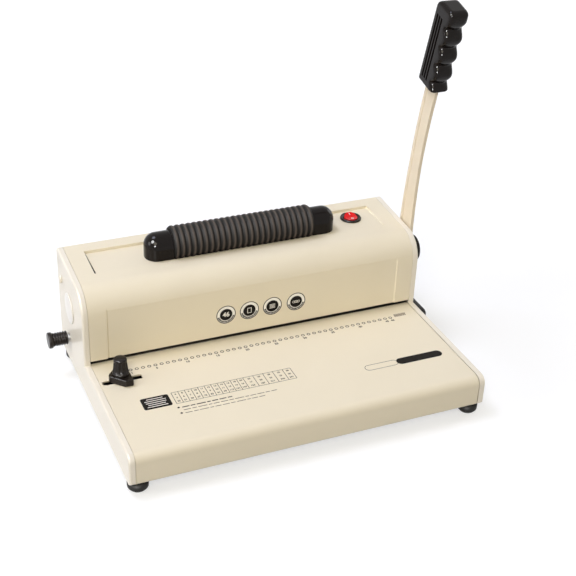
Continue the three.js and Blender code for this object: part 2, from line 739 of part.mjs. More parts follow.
function sideCover(side) {
  const shell = softPrism(
    "x", sideLine(0), onSide(side, rimInner - SIDE_RIM, bodyHalf), SIDE_EDGE_RADIUS, 3,
  );
  const inward = block(
    onSide(side, rimInner - 2 * SIDE_RIM, rimInner), past([-BASE_REACH, BODY_REACH]), [0, bodyTop + OVERRUN],
  );
  const pocket = prism("x", sideLine(SIDE_WALL), onSide(side, rimInner - OVERRUN, wallInner));
  let cover = shell.subtract(inward).subtract(pocket);
  const post = onSide(side, frameOuter + SEAT, wallInner + SEAT);
  const through = past(onSide(side, frameOuter, bodyHalf));
  screwPlaces.forEach(([, place]) => {
    cover = cover
      .add(rod("x", SCREW_POST_RADIUS, post, SMALL_SIDES, place))
      .subtract(rod("x", SCREW_RADIUS + SEAT, through, SMALL_SIDES, place));
  });
  return cover;
}

function leftSideCover() {
  const through = past([-bodyHalf, -rimInner]);
  return sideCover(-1)
    .subtract(rod("x", MARGIN_SHAFT_RADIUS + RUN, through, SMALL_SIDES, marginAt))
    .subtract(rod("x", PLUG_STUB_RADIUS + SEAT, through, SMALL_SIDES, plugAt));
}

// Round plug that closes the left cover's assembly hole
function leftCoverPlug() {
  const inner = -(bodyHalf + SEAT);
  const outer = inner - PLUG_THICKNESS;
  const stubEnd = PLUG_STUB_PAST_WALL - wallInner;
  const profile = [
    [0, outer],
    [PLUG_RADIUS - PLUG_EDGE, outer],
    [PLUG_RADIUS, outer + PLUG_EDGE],
    [PLUG_RADIUS, inner],
    [PLUG_STUB_RADIUS, inner],
    [PLUG_STUB_RADIUS, stubEnd],
    [0, stubEnd],
  ];
  return turned("x", profile, 2 * ROUND_SIDES, plugAt);
}

function rightSideCover() {
  const through = past([rimInner, bodyHalf]);
  const trayWindow = block(through, [trayFront - RUN, trayRear + RUN], [onFloor - SEAT, trayTop + RUN]);
  return sideCover(1)
    .subtract(rod("x", SHAFT_RADIUS + RUN, through, ROUND_SIDES, shaftAt))
    .subtract(trayWindow);
}

function coverScrew(side) {
  const seat = bodyHalf + SEAT;
  const head = rod("x", SCREW_HEAD_RADIUS, onSide(side, seat, seat + SCREW_HEAD), SMALL_SIDES);
  return head.add(rod("x", SCREW_RADIUS, onSide(side, frameInner + SEAT, seat + SEAT), SMALL_SIDES));
}

// Side guide, which slides along a slot in the base's top and is clamped by its knob

const GUIDE_SLOT_REACH = 33.6; // slot in front of the tower's face
const GUIDE_SLOT_HALF = 2.9;
const GUIDE_OUT = 15; // travel to the left
const GUIDE_IN = 18;
const GUIDE_EDGE_MARGIN = 3.5; // from the sheet's edge to the first hole
const GUIDE_WIDTH = 20.5;
const GUIDE_BOLT_INSET = 9;
const GUIDE_AHEAD = 13.8;
const GUIDE_BEHIND = 12;
const GUIDE_HEIGHT = 7.2;
const GUIDE_CORNER = 12.5;
const GUIDE_REAR_CORNER = 3;
const GUIDE_BOLT_RADIUS = 2.4;
const BOLT_HEAD_RADIUS = 5;
const BOLT_HEAD = 2.4;
const BOLT_IN_KNOB = 10;
const GUIDE_KNOB_HEIGHT = 19.5;
const GUIDE_KNOB_LOW_RADIUS = 8.4;
const GUIDE_KNOB_TOP_RADIUS = 6.7;
const GUIDE_KNOB_SKIRT = 2.4;
const GUIDE_KNOB_EDGE = 1;
const GUIDE_KNOB_FLUTES = 12;
const NUT_HALF_X = 5;
const NUT_HALF_Y = 7;
const NUT_THICKNESS = 3;
const guideEdge = -(rowHalf + GUIDE_EDGE_MARGIN);
const guideX = guideEdge - GUIDE_BOLT_INSET;

// The guide's pieces are drawn round its bolt, with Z = 0 on the base's top.
const knobLow = 2 * SEAT + GUIDE_HEIGHT;
const guideBore = (span) => rod("z", GUIDE_BOLT_RADIUS + SEAT, span, SMALL_SIDES);

function sideGuideBlock() {
  const right = GUIDE_BOLT_INSET;
  const left = right - GUIDE_WIDTH;
  const height = [SEAT, SEAT + GUIDE_HEIGHT];
  const outline = [
    [left, GUIDE_CORNER - GUIDE_AHEAD],
    [left + GUIDE_CORNER, -GUIDE_AHEAD],
    [right, -GUIDE_AHEAD],
    [right, GUIDE_BEHIND],
    [left + GUIDE_REAR_CORNER, GUIDE_BEHIND],
    [left, GUIDE_BEHIND - GUIDE_REAR_CORNER],
  ];
  return prism("z", outline, height).subtract(guideBore(past(height)));
}

function sideGuideKnob() {
  const top = knobLow + GUIDE_KNOB_HEIGHT;
  const cone = [
    [0, knobLow],
    [GUIDE_KNOB_LOW_RADIUS, knobLow],
    [GUIDE_KNOB_LOW_RADIUS, knobLow + GUIDE_KNOB_SKIRT],
    [GUIDE_KNOB_TOP_RADIUS, top - GUIDE_KNOB_EDGE],
    [GUIDE_KNOB_TOP_RADIUS - GUIDE_KNOB_EDGE, top],
    [0, top],
  ];
  const flutes = fluted(GUIDE_KNOB_FLUTES, GUIDE_KNOB_LOW_RADIUS, GUIDE_KNOB_TOP_RADIUS - GUIDE_KNOB_EDGE);
  return turned("z", cone, ROUND_SIDES)
    .intersect(prism("z", flutes, past([knobLow, top])))
    .subtract(guideBore([knobLow - OVERRUN, knobLow + BOLT_IN_KNOB + SEAT]));
}

const nutTop = -SHEET - SEAT;
const nutLow = nutTop - NUT_THICKNESS;

const sideGuideNutPlate = () =>
  block(about(0, NUT_HALF_X), about(0, NUT_HALF_Y), [nutLow, nutTop]).subtract(
    guideBore(past([nutLow, nutTop])),
  );

function sideGuideBolt() {
  const headTop = nutLow - SEAT;
  const head = rod("z", BOLT_HEAD_RADIUS, [headTop - BOLT_HEAD, headTop], HOLE_SIDES);
  return head.add(rod("z", GUIDE_BOLT_RADIUS, [headTop - SEAT, knobLow + BOLT_IN_KNOB], SMALL_SIDES));
}

// Folded cover of the base: its front and the paper table, with the side guide's slot

function baseCover() {
  const rear = dieFront - SEAT;
  const outer = [[rear, FOOT_HEIGHT], [rear, baseTop], ...baseFrontLine(0)];
  const inner = [
    [rear + OVERRUN, FOOT_HEIGHT - OVERRUN],
    [rear + OVERRUN, baseTop - SHEET],
    ...baseFrontLine(SHEET).slice(0, -2),
    [SHEET - BASE_REACH, FOOT_HEIGHT + BASE_BOTTOM_CHAMFER],
    [SHEET + BASE_BOTTOM_CHAMFER - BASE_REACH, FOOT_HEIGHT - OVERRUN],
  ];
  const width = [-coverHalf, coverHalf];
  const slotRight = guideX + GUIDE_IN + GUIDE_SLOT_HALF;
  const slot = [
    ...arc([guideX - GUIDE_OUT, -GUIDE_SLOT_REACH], GUIDE_SLOT_HALF, 90, 270, FILLET_STEPS),
    [slotRight, -GUIDE_SLOT_REACH - GUIDE_SLOT_HALF],
    [slotRight, GUIDE_SLOT_HALF - GUIDE_SLOT_REACH],
  ];
  return prism("x", outer, width)
    .subtract(prism("x", inner, past(width)))
    .subtract(prism("z", slot, past([baseTop - SHEET, baseTop])));
}

// Coil roller: a ribbed rubber sleeve on a core, turned by a belt. All is drawn round its axis.

const ROLLER_SHAFT_RADIUS = 3;
const ROLLER_CORE_RADIUS = 13;
const ROLLER_GROOVE = 1.1;
const ROLLER_SIDES = 16;
const HOUSING_WALL = 3.2; // beside the well, which leaves enough where the end is round
const HOUSING_END_WALL = 7; // from the well to the tip
const HOUSING_END_RADIUS = 12.5;
const BUSH_LENGTH = 8;
const BUSH_RADIUS = 6;
const BELT_WIDTH = 4;
const BELT_THICKNESS = 2;
const ROLLER_PULLEY_RADIUS = 5.5;
const PULLEY_FLANGE = 1.5;
const PULLEY_FLANGE_WIDTH = 1.2;
const rollerAt = [ROLLER_SETBACK, panelFloor + ROLLER_AXIS_RISE];
const rollerHalf = ROLLER_LENGTH / 2;
const housingInner = rollerHalf + SEAT;
const housingOuter = housingInner + HOUSING_LENGTH;
const wellOuter = housingOuter - HOUSING_END_WALL;
const pulleyHalf = BELT_WIDTH / 2 + SEAT + PULLEY_FLANGE_WIDTH;
const pulleyX = wellOuter - RUN - SEAT - pulleyHalf;
const pulleySide = pulleyX + pulleyHalf;

function rollerShaft() {
  const ends = [-(housingInner + BUSH_LENGTH + SEAT), pulleySide + SEAT];
  return rod("x", ROLLER_SHAFT_RADIUS, ends, SMALL_SIDES);
}

const rollerCore = () =>
  tube("x", ROLLER_SHAFT_RADIUS + SEAT, ROLLER_CORE_RADIUS, [-rollerHalf, rollerHalf], ROLLER_SIDES);

function rollerSleeve() {
  const bore = ROLLER_CORE_RADIUS + SEAT;
  const groove = ROLLER_RADIUS - ROLLER_GROOVE;
  const pitch = ROLLER_LENGTH / ROLLER_RIBS;
  const ribs = Array.from({ length: ROLLER_RIBS }, (_, i) => [
    [groove, i * pitch - rollerHalf],
    [ROLLER_RADIUS, (i + 1 / 2) * pitch - rollerHalf],
  ]);
  const profile = [
    [bore, -rollerHalf],
    ...ribs.flat(),
    [groove, rollerHalf],
    [bore, rollerHalf],
    [bore, -rollerHalf],
  ];
  return turned("x", profile, ROLLER_SIDES);
}

function rollerHousing(side) {
  const bottom = SEAT - ROLLER_AXIS_RISE;
  const deep = bottom - 2 * HOUSING_END_RADIUS;
  const domed = (radius, low) => [
    ...arc([0, 0], radius, 0, 180, 2 * FILLET_STEPS),
    [-radius, low],
    [radius, low],
  ];
  const shell = softPrism(
    "x",
    domed(HOUSING_RADIUS, deep),
    onSide(side, housingInner - 2 * HOUSING_END_RADIUS, housingOuter),
    HOUSING_END_RADIUS,
    FILLET_STEPS,
  );
  const kept = block(
    onSide(side, housingInner, housingOuter + OVERRUN),
    past([-HOUSING_RADIUS, HOUSING_RADIUS]),
    [bottom, HOUSING_RADIUS + OVERRUN],
  );
  const wellInner = housingInner + BUSH_LENGTH;
  const room = domed(HOUSING_RADIUS - HOUSING_WALL, bottom - OVERRUN);
  const well = prism("x", room, onSide(side, wellInner, wellOuter));
  const bushSpan = past(onSide(side, housingInner, wellInner));
  const bushBore = rod("x", BUSH_RADIUS + SEAT, bushSpan, SMALL_SIDES);
  return shell.intersect(kept).subtract(well).subtract(bushBore);
}

function rollerBush(side) {
  const length = onSide(side, housingInner + SEAT, housingInner + BUSH_LENGTH - SEAT);
  return tube("x", ROLLER_SHAFT_RADIUS + SEAT, BUSH_RADIUS, length, SMALL_SIDES);
}

function pulley(radius, bore) {
  const groove = BELT_WIDTH / 2 + SEAT;
  const flange = radius + PULLEY_FLANGE;
  const profile = [
    [bore, pulleyX - pulleyHalf],
    [flange, pulleyX - pulleyHalf],
    [flange, pulleyX - groove],
    [radius, pulleyX - groove],
    [radius, pulleyX + groove],
    [flange, pulleyX + groove],
    [flange, pulleySide],
    [bore, pulleySide],
    [bore, pulleyX - pulleyHalf],
  ];
  return turned("x", profile, ROUND_SIDES);
}

// Motor behind the punch, on a bracket, and the belt from its pulley up to the roller's

const MOTOR_RADIUS = 15;
const MOTOR_LENGTH = 48;
const MOTOR_BEHIND_HOLDER = 2;
const MOTOR_BELOW_SHAFT = 5.5;
const MOTOR_SHAFT_RADIUS = 1.5;
const MOTOR_SHAFT_IN_MOTOR = 24;
const MOTOR_PULLEY_RADIUS = 4;
const BRACKET = 2.5;
const BRACKET_FLANGE = 15;
const BRACKET_HOLE_RADIUS = 3;
const BRACKET_PAST_MOTOR = 1;
const motorAt = [
  holderRear + MOTOR_BEHIND_HOLDER + MOTOR_RADIUS,
  shaftAt[1] - MOTOR_BELOW_SHAFT,
];
const bracketX = pulleyX - pulleyHalf - RUN;
const motorRight = bracketX - BRACKET - SEAT;
const motorMiddle = motorRight - MOTOR_LENGTH / 2;

function motor() {
  const bore = [motorRight - MOTOR_SHAFT_IN_MOTOR - SEAT, motorRight + OVERRUN];
  return rod("x", MOTOR_RADIUS, [motorRight - MOTOR_LENGTH, motorRight], ROUND_SIDES).subtract(
    rod("x", MOTOR_SHAFT_RADIUS + SEAT, bore, SMALL_SIDES),
  );
}

const motorShaft = () =>
  rod("x", MOTOR_SHAFT_RADIUS, [motorRight - MOTOR_SHAFT_IN_MOTOR, pulleySide + SEAT], SMALL_SIDES);

// An L-shaped plate that stands on the bottom plate behind the margin shaft.
function motorBracket() {
  const [y, z] = motorAt;
  const front = marginAt[0] + MARGIN_SHAFT_RADIUS + BRACKET;
  const rear = y + MOTOR_RADIUS + BRACKET_PAST_MOTOR;
  const outline = [
    [front, onFloor],
    [rear, onFloor],
    [rear, z + MOTOR_RADIUS],
    [y - MOTOR_RADIUS, z + MOTOR_RADIUS],
    [y - MOTOR_RADIUS, z - MOTOR_RADIUS],
    [front, z - MOTOR_RADIUS],
  ];
  const wall = [bracketX - BRACKET, bracketX];
  const flange = block([bracketX - BRACKET_FLANGE, bracketX], [front, rear], [onFloor, onFloor + BRACKET]);
  return prism("x", outline, wall)
    .subtract(rod("x", BRACKET_HOLE_RADIUS, past(wall), SMALL_SIDES, motorAt))
    .add(flange);
}

// The belt's line round both pulleys, at a distance from their grooves.
function beltLine(gap) {
  const [high, low] = [ROLLER_PULLEY_RADIUS + gap, MOTOR_PULLEY_RADIUS + gap];
  const [back, up] = [motorAt[0] - rollerAt[0], motorAt[1] - rollerAt[1]];
  const heading = radToDeg(Math.atan2(up, back));
  const lean = radToDeg(Math.acos((high - low) / Math.hypot(back, up)));
  return [
    ...arc(rollerAt, high, heading + lean, heading + 360 - lean, 2 * FILLET_STEPS),
    ...arc(motorAt, low, heading - lean, heading + lean, FILLET_STEPS),
  ];
}

function driveBelt() {
  const width = about(pulleyX, BELT_WIDTH / 2);
  const outer = prism("x", beltLine(SEAT + BELT_THICKNESS), width);
  return outer.subtract(prism("x", beltLine(SEAT), past(width)));
}

// Round rocker switch. Its body is drawn round its own middle, with Z = 0 on the top panel.

const SWITCH_INSET = 27.5; // from the end of the top panel
const SWITCH_AHEAD = 17; // from the rear of the top panel
const SWITCH_RADIUS = 11.5;
const SWITCH_BARREL_RADIUS = 9.9;
const SWITCH_WELL_RADIUS = 8.3;
const SWITCH_WELL_DEPTH = 9;
const SWITCH_FLANGE = 2;
const SWITCH_EDGE = 1;
const SWITCH_DEPTH = 17;
const ROCKER_RADIUS = 7.1;
const ROCKER_TILT = 10; // degrees either way
const ROCKER_DROP = 1.5; // pivot below the top panel
const ROCKER_CROWN = 5.5; // its two ends above the pivot
const ROCKER_VALLEY = 3.9; // its middle above the pivot
const ROCKER_BELOW = 4;
const ROCKER_PIN_RADIUS = 0.9;
const ROCKER_PIN_HALF = 9.3;
const switchAt = [panelHalf - SWITCH_INSET, TOP_PANEL_REAR - SWITCH_AHEAD];

function switchBody() {
  const top = SEAT + SWITCH_FLANGE;
  const profile = [
    [0, top - SWITCH_DEPTH],
    [SWITCH_BARREL_RADIUS, top - SWITCH_DEPTH],
    [SWITCH_BARREL_RADIUS, SEAT],
    [SWITCH_RADIUS, SEAT],
    [SWITCH_RADIUS, top - SWITCH_EDGE],
    [SWITCH_RADIUS - SWITCH_EDGE, top],
    [SWITCH_WELL_RADIUS, top],
    [SWITCH_WELL_RADIUS, top - SWITCH_WELL_DEPTH],
    [0, top - SWITCH_WELL_DEPTH],
  ];
  const pinHole = rod(
    "x", ROCKER_PIN_RADIUS + SEAT, about(0, SWITCH_RADIUS + OVERRUN), HOLE_SIDES, [0, -ROCKER_DROP],
  );
  return turned("z", profile, ROUND_SIDES).subtract(pinHole);
}

// The rocker is drawn level round its pivot, and its group tilts it.
function switchRocker() {
  const r = ROCKER_RADIUS;
  const line = [
    [-r, 0],
    [0, -ROCKER_BELOW],
    [r, 0],
    [r, ROCKER_CROWN],
    [0, ROCKER_VALLEY],
    [-r, ROCKER_CROWN],
  ];
  const disc = rod("z", r, past([-ROCKER_BELOW, ROCKER_CROWN]), ROUND_SIDES);
  const pin = rod("x", ROCKER_PIN_RADIUS, about(0, ROCKER_PIN_HALF), HOLE_SIDES);
  return prism("x", line, past([-r, r])).intersect(disc).add(pin);
}

// Mains inlet in the rear cover, and the circuit board on its legs

const INLET_INSET = 62.5; // from the body's left side
const INLET_RISE = 13; // above the bottom plate
const INLET_WIDTH = 28;
const INLET_HEIGHT = 20;
const INLET_DEPTH = 24;
const INLET_FLANGE = 2.5;
const INLET_LIP_X = 4;
const INLET_LIP_Z = 2;
const SOCKET_WIDTH = 24;
const SOCKET_HEIGHT = 16.2;
const SOCKET_DEPTH = 18;
const BLADE_LENGTH = 12;
const BLADE_WIDTH = 2;
const BLADE_HEIGHT = 4;
const BLADE_PITCH = 7;
const BLADE_OFFSET = 2; // the middle blade is higher than the other two
const inletAt = [INLET_INSET - bodyHalf, floorTop + INLET_RISE];

function powerInlet() {
  const [x, z] = inletAt;
  const inside = BODY_REACH + SEAT;
  const outside = inside + INLET_FLANGE;
  const socketFloor = outside - SOCKET_DEPTH;
  const body = block(
    about(x, INLET_WIDTH / 2), [outside - INLET_DEPTH, outside], about(z, INLET_HEIGHT / 2),
  );
  const rim = block(
    about(x, INLET_WIDTH / 2 + INLET_LIP_X), [inside, outside], about(z, INLET_HEIGHT / 2 + INLET_LIP_Z),
  );
  const socket = block(
    about(x, SOCKET_WIDTH / 2), [socketFloor, outside + OVERRUN], about(z, SOCKET_HEIGHT / 2),
  );
  let inlet = body.add(rim).subtract(socket);
  [-1, 0, 1].forEach((column) => {
    const bladeZ = z + (column === 0 ? BLADE_OFFSET : -BLADE_OFFSET);
    const blade = block(
      about(x + column * BLADE_PITCH, BLADE_WIDTH / 2),
      [socketFloor - SEAT, socketFloor + BLADE_LENGTH],
      about(bladeZ, BLADE_HEIGHT / 2),
    );
    inlet = inlet.add(blade);
  });
  return inlet;
}

const BOARD_LENGTH = 70;
const BOARD_DEPTH = 22;
const BOARD_THICKNESS = 1.6;
const BOARD_RISE = 4;
const BOARD_PAST_INLET = 42; // from the inlet to the board
const BOARD_REAR_GAP = 3.7;
const BOARD_LEG_RADIUS = 2;
const BOARD_LEG_INSET = 4;
const TRANSFORMER_LENGTH = 20;
const TRANSFORMER_INSET = 8;
const TRANSFORMER_HEIGHT = 16;
const CAPACITOR_RADIUS = 4.8;
const CAPACITOR_INSET = 16;

function controlBoard() {
  const left = inletAt[0] + BOARD_PAST_INLET;
  const right = left + BOARD_LENGTH;
  const rear = frameRear - BOARD_REAR_GAP;
  const front = rear - BOARD_DEPTH;
  const [low, top] = [onFloor + BOARD_RISE, onFloor + BOARD_RISE + BOARD_THICKNESS];
  const legs = [left + BOARD_LEG_INSET, right - BOARD_LEG_INSET].flatMap((x) =>
    [front + BOARD_LEG_INSET, rear - BOARD_LEG_INSET].map((y) =>
      rod("z", BOARD_LEG_RADIUS, [onFloor, low + SEAT], HOLE_SIDES, [x, y]),
    ),
  );
  const transformer = block(
    [left + TRANSFORMER_INSET, left + TRANSFORMER_INSET + TRANSFORMER_LENGTH],
    [front + BOARD_THICKNESS, rear - BOARD_THICKNESS],
    [top - SEAT, top + TRANSFORMER_HEIGHT],
  );
  const capacitor = rod(
    "z",
    CAPACITOR_RADIUS,
    [top - SEAT, top + TRANSFORMER_HEIGHT],
    SMALL_SIDES,
    [right - CAPACITOR_INSET, (front + rear) / 2],
  );
  const board = block([left, right], [front, rear], [low, top]);
  return wasm.Manifold.union([board, transformer, capacitor, ...legs]);
}

// Folded cover of the tower: front, roof and a lip over the back, with a sunk panel in the front and
// a level panel in the roof that carries the roller and the switch

function towerCover() {
  const width = [-coverHalf, coverHalf];
  const inner = [
    [SHEET, throatTop - OVERRUN],
    [BODY_REACH - SHEET, throatTop - OVERRUN],
    ...towerLine(SHEET).reverse(),
  ];
  const panel = [-panelHalf, panelHalf];
  const sunkPanel = block(panel, [-OVERRUN, FRONT_PANEL_DEPTH], [throatTop - OVERRUN, topAt(0)]);
  const sunkRoof = block(
    panel, [TOP_PANEL_FRONT - OVERRUN, TOP_PANEL_REAR], [panelFloor, bodyTop + OVERRUN],
  );
  const roofUnderside = block(
    about(0, panelHalf + SHEET),
    [TOP_PANEL_FRONT - OVERRUN, TOP_PANEL_REAR + SHEET],
    [panelFloor - SHEET, bodyTop + OVERRUN],
  );
  const belowLip = block(
    past(width), past([BODY_REACH - SHEET, BODY_REACH]), [throatTop - OVERRUN, bodyTop - REAR_LIP],
  );
  const body = prism("x", [[0, throatTop], [BODY_REACH, throatTop], ...towerLine(0).reverse()], width)
    .subtract(sunkPanel)
    .subtract(sunkRoof)
    .subtract(belowLip);
  const hollow = prism("x", inner, past(width)).subtract(roofUnderside);
  return body.subtract(hollow).subtract(roofOpenings());
}

// What passes through the roof: the roller's underside, the belt and the switch's barrel.
function roofOpenings() {
  const through = past([panelFloor - SHEET, panelFloor]);
  const dip = (ROLLER_RADIUS + 2 * RUN) ** 2 - ROLLER_AXIS_RISE ** 2;
  const troughHalf = Math.sqrt(Math.max(dip, RUN ** 2));
  const trough = block(about(0, rollerHalf + SEAT), about(ROLLER_SETBACK, troughHalf), through);
  const beltShare = ROLLER_AXIS_RISE / (rollerAt[1] - motorAt[1]);
  const beltY = ROLLER_SETBACK + (motorAt[0] - ROLLER_SETBACK) * beltShare;
  const beltHalf = ROLLER_PULLEY_RADIUS + SEAT + BELT_THICKNESS + RUN;
  const beltHole = block(about(pulleyX, pulleyHalf), about(beltY, beltHalf), through);
  const switchHole = rod("z", SWITCH_BARREL_RADIUS + SEAT, through, ROUND_SIDES, switchAt);
  return trough.add(beltHole).add(switchHole);
}

// Flat cover of the back, with vents behind the motor

const VENT_COUNT = 9;
const VENT_PITCH = 8;
const VENT_WIDTH = 3;
const VENT_HEIGHT = 28;

function rearCover() {
  const wall = [BODY_REACH - SHEET, BODY_REACH];
  const top = bodyTop - REAR_LIP - SEAT;
  const [x, z] = inletAt;
  const inletHole = block(
    about(x, INLET_WIDTH / 2 + SEAT), past(wall), about(z, INLET_HEIGHT / 2 + SEAT),
  );
  let cover = block([-coverHalf, coverHalf], wall, [onFloor, top]).subtract(inletHole);
  for (let i = 0; i < VENT_COUNT; i += 1) {
    const ventX = motorMiddle + (i - (VENT_COUNT - 1) / 2) * VENT_PITCH;
    cover = cover.subtract(
      block(about(ventX, VENT_WIDTH / 2), past(wall), about(motorAt[1], VENT_HEIGHT / 2)),
    );
  }
  return cover;
}

// Housing
add(machine, "bottom_plate", bottomPlate(), darkSteel);
Object.entries(footPlaces).forEach(([name, place]) => add(machine, name, foot(), blackRubber, place));
add(machine, "left_side_cover", leftSideCover(), creamPaint);
add(machine, "right_side_cover", rightSideCover(), creamPaint);
add(machine, "left_cover_plug", leftCoverPlug(), creamPaint);
sides.forEach(([name, side]) => {
  screwPlaces.forEach(([level, place]) => {
    add(machine, `${name}_cover_screw_${level}`, coverScrew(side), creamPaint, [0, ...place]);
  });
});
add(machine, "base_cover", baseCover(), creamPaint);
add(machine, "tower_cover", towerCover(), creamPaint);
add(machine, "rear_cover", rearCover(), creamPaint);

// Punch
add(machine, "left_frame", sideFrame(-1), darkSteel);
add(machine, "right_frame", sideFrame(1), darkSteel);
add(machine, "die_plate", diePlate(), bareSteel);
add(machine, "pin_guide_plate", pinGuidePlate(), darkSteel);
add(machine, "punch_bar", punchBar(), darkSteel);
add(machine, "left_return_spring", returnSpring(), bareSteel, [-springX, springY, springLow]);
add(machine, "right_return_spring", returnSpring(), bareSteel, [springX, springY, springLow]);

// Lever, with its shaft and cams
const shaftLine = groupAt(machine, 0, ...shaftAt);
add(shaftLine, "left_bearing", bearing(-1), bronze);
add(shaftLine, "right_bearing", bearing(1), bronze);
const lever = groupAt(shaftLine, 0, 0, 0);
add(lever, "main_shaft", mainShaft(), bareSteel);
add(lever, "left_cam", punchCam(-CAM_X), darkSteel);
add(lever, "right_cam", punchCam(CAM_X), darkSteel);
add(lever, "lever_spacer", leverSpacer(), bareSteel);
add(lever, "lever_arm", leverArm(), creamPaint);
add(lever, "lever_grip", leverGrip(), blackPlastic);
add(lever, "lever_cap", leverCap(), blackPlastic);

// Margin setting
add(machine, "back_stop", backStop(), bareSteel);
const marginSetting = groupAt(machine, 0, ...marginAt);
add(marginSetting, "margin_shaft", marginShaft(), bareSteel);
add(marginSetting, "left_margin_cam", marginCam(-MARGIN_CAM_X), bronze);
add(marginSetting, "right_margin_cam", marginCam(MARGIN_CAM_X), bronze);
add(marginSetting, "margin_knob", marginKnob(), blackPlastic);

// Side guide
const sideGuide = groupAt(machine, guideX, -GUIDE_SLOT_REACH, baseTop);
add(sideGuide, "side_guide_block", sideGuideBlock(), blackPlastic);
add(sideGuide, "side_guide_knob", sideGuideKnob(), blackPlastic);
add(sideGuide, "side_guide_nut_plate", sideGuideNutPlate(), bareSteel);
add(sideGuide, "side_guide_bolt", sideGuideBolt(), bareSteel);

// Waste tray
add(machine, "waste_tray", wasteTray(), blackPlastic);
add(machine, "tray_pull", trayPull(), blackPlastic);

// Coil roller and its drive
const rollerLine = groupAt(machine, 0, ...rollerAt);
add(rollerLine, "left_roller_housing", rollerHousing(-1), blackPlastic);
add(rollerLine, "right_roller_housing", rollerHousing(1), blackPlastic);
add(rollerLine, "left_roller_bush", rollerBush(-1), bronze);
add(rollerLine, "right_roller_bush", rollerBush(1), bronze);
const roller = groupAt(rollerLine, 0, 0, 0);
add(roller, "roller_shaft", rollerShaft(), bareSteel);
add(roller, "roller_core", rollerCore(), blackPlastic);
add(roller, "roller_sleeve", rollerSleeve(), blackRubber);
add(roller, "roller_pulley", pulley(ROLLER_PULLEY_RADIUS, ROLLER_SHAFT_RADIUS + SEAT), bareSteel);
const motorLine = groupAt(machine, 0, ...motorAt);
add(motorLine, "motor", motor(), darkSteel);
add(motorLine, "motor_shaft", motorShaft(), bareSteel);
add(motorLine, "motor_pulley", pulley(MOTOR_PULLEY_RADIUS, MOTOR_SHAFT_RADIUS + SEAT), bareSteel);
add(machine, "motor_bracket", motorBracket(), bareSteel);
add(machine, "drive_belt", driveBelt(), blackRubber);

// Switch, inlet and circuit board
const powerSwitch = groupAt(machine, ...switchAt, panelFloor);
add(powerSwitch, "switch_body", switchBody(), blackPlastic);
const rocker = groupAt(powerSwitch, 0, 0, -ROCKER_DROP);
rocker.rotation.x = degToRad(ROCKER_TILT);
add(rocker, "switch_rocker", switchRocker(), redPlastic);
add(machine, "power_inlet", powerInlet(), blackPlastic);
add(machine, "control_board", controlBoard(), circuitGreen);

// Centre the machine over the origin, with its feet at Z = 0.
const bounds = new THREE.Box3().setFromObject(machine);
const centre = bounds.getCenter(new THREE.Vector3());
machine.position.set(-centre.x, -centre.y, -bounds.min.z);

export default machine;
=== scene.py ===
import math

import bmesh
import bpy
from mathutils import Matrix, Vector


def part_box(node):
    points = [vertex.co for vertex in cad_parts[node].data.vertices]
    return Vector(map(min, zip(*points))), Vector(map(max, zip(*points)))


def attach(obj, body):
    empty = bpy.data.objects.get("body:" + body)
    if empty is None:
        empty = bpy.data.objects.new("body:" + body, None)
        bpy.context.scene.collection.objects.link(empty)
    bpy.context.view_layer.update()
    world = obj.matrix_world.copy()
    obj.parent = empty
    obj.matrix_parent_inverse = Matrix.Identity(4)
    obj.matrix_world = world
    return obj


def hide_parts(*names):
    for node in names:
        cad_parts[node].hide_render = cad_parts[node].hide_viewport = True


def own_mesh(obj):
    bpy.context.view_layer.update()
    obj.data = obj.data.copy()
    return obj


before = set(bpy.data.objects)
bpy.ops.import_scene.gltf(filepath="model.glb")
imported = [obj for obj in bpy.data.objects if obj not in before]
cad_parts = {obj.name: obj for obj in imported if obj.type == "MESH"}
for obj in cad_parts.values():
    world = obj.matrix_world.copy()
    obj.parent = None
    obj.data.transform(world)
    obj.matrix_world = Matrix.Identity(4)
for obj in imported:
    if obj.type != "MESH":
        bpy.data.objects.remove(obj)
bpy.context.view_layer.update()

# Studio. The camera stands to the left in front of the machine and looks down on it. Soft lamps hang
# overhead, in front and at both sides, and two more show only as glints in gloss. The white table
# glows more with the distance, so that it fades into the white round it.
MM = 0.001
tower_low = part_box("tower_cover")[0]
base_low, base_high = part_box("base_cover")
origin = Vector(((base_low.x + base_high.x) / 2, tower_low.y, 0))


def at(x, y, z):
    """A place given in mm from the middle of the tower's lower front edge, on the table."""
    return origin + Vector((x, y, z)) * MM


CAMERA_PLACE = at(-391.3, -939.95, 700.44)
CAMERA_HEADING = math.radians(24.25)
CAMERA_DIP = math.radians(30.58)
CAMERA_ROLL = math.radians(2.45)
SENSOR = 36
PHOTO_SIZE = 576
FOCAL_PIXELS = 1170.11

camera_data = bpy.data.cameras.new("camera")
camera_data.sensor_width = SENSOR
camera_data.lens = FOCAL_PIXELS / PHOTO_SIZE * SENSOR
camera_data.clip_start = 0.05
camera_data.clip_end = 20
camera = bpy.data.objects.new("camera", camera_data)
bpy.context.scene.collection.objects.link(camera)
camera.matrix_world = (
    Matrix.Translation(CAMERA_PLACE)
    @ Matrix.Rotation(-CAMERA_HEADING, 4, "Z")
    @ Matrix.Rotation(math.pi / 2 - CAMERA_DIP, 4, "X")
    @ Matrix.Rotation(CAMERA_ROLL, 4, "Z")
)
bpy.context.scene.camera = camera
bpy.context.scene.view_settings.view_transform = "Standard"

LAMP_TARGET = Vector((0, 0, 0.1))


def lamp(name, place, size, power, colour=(1, 1, 1), glint_only=False):
    """A round area lamp. One that is for glints alone shows in gloss and lights nothing."""
    data = bpy.data.lights.new(name, "AREA")
    data.shape = "DISK"
    data.size = size
    data.energy = power
    data.color = colour
    made = bpy.data.objects.new(name, data)
    bpy.context.scene.collection.objects.link(made)
    made.location = place
    made.rotation_euler = (LAMP_TARGET - Vector(place)).to_track_quat("-Z", "Y").to_euler()
    made.visible_diffuse = not glint_only
    made.visible_camera = False


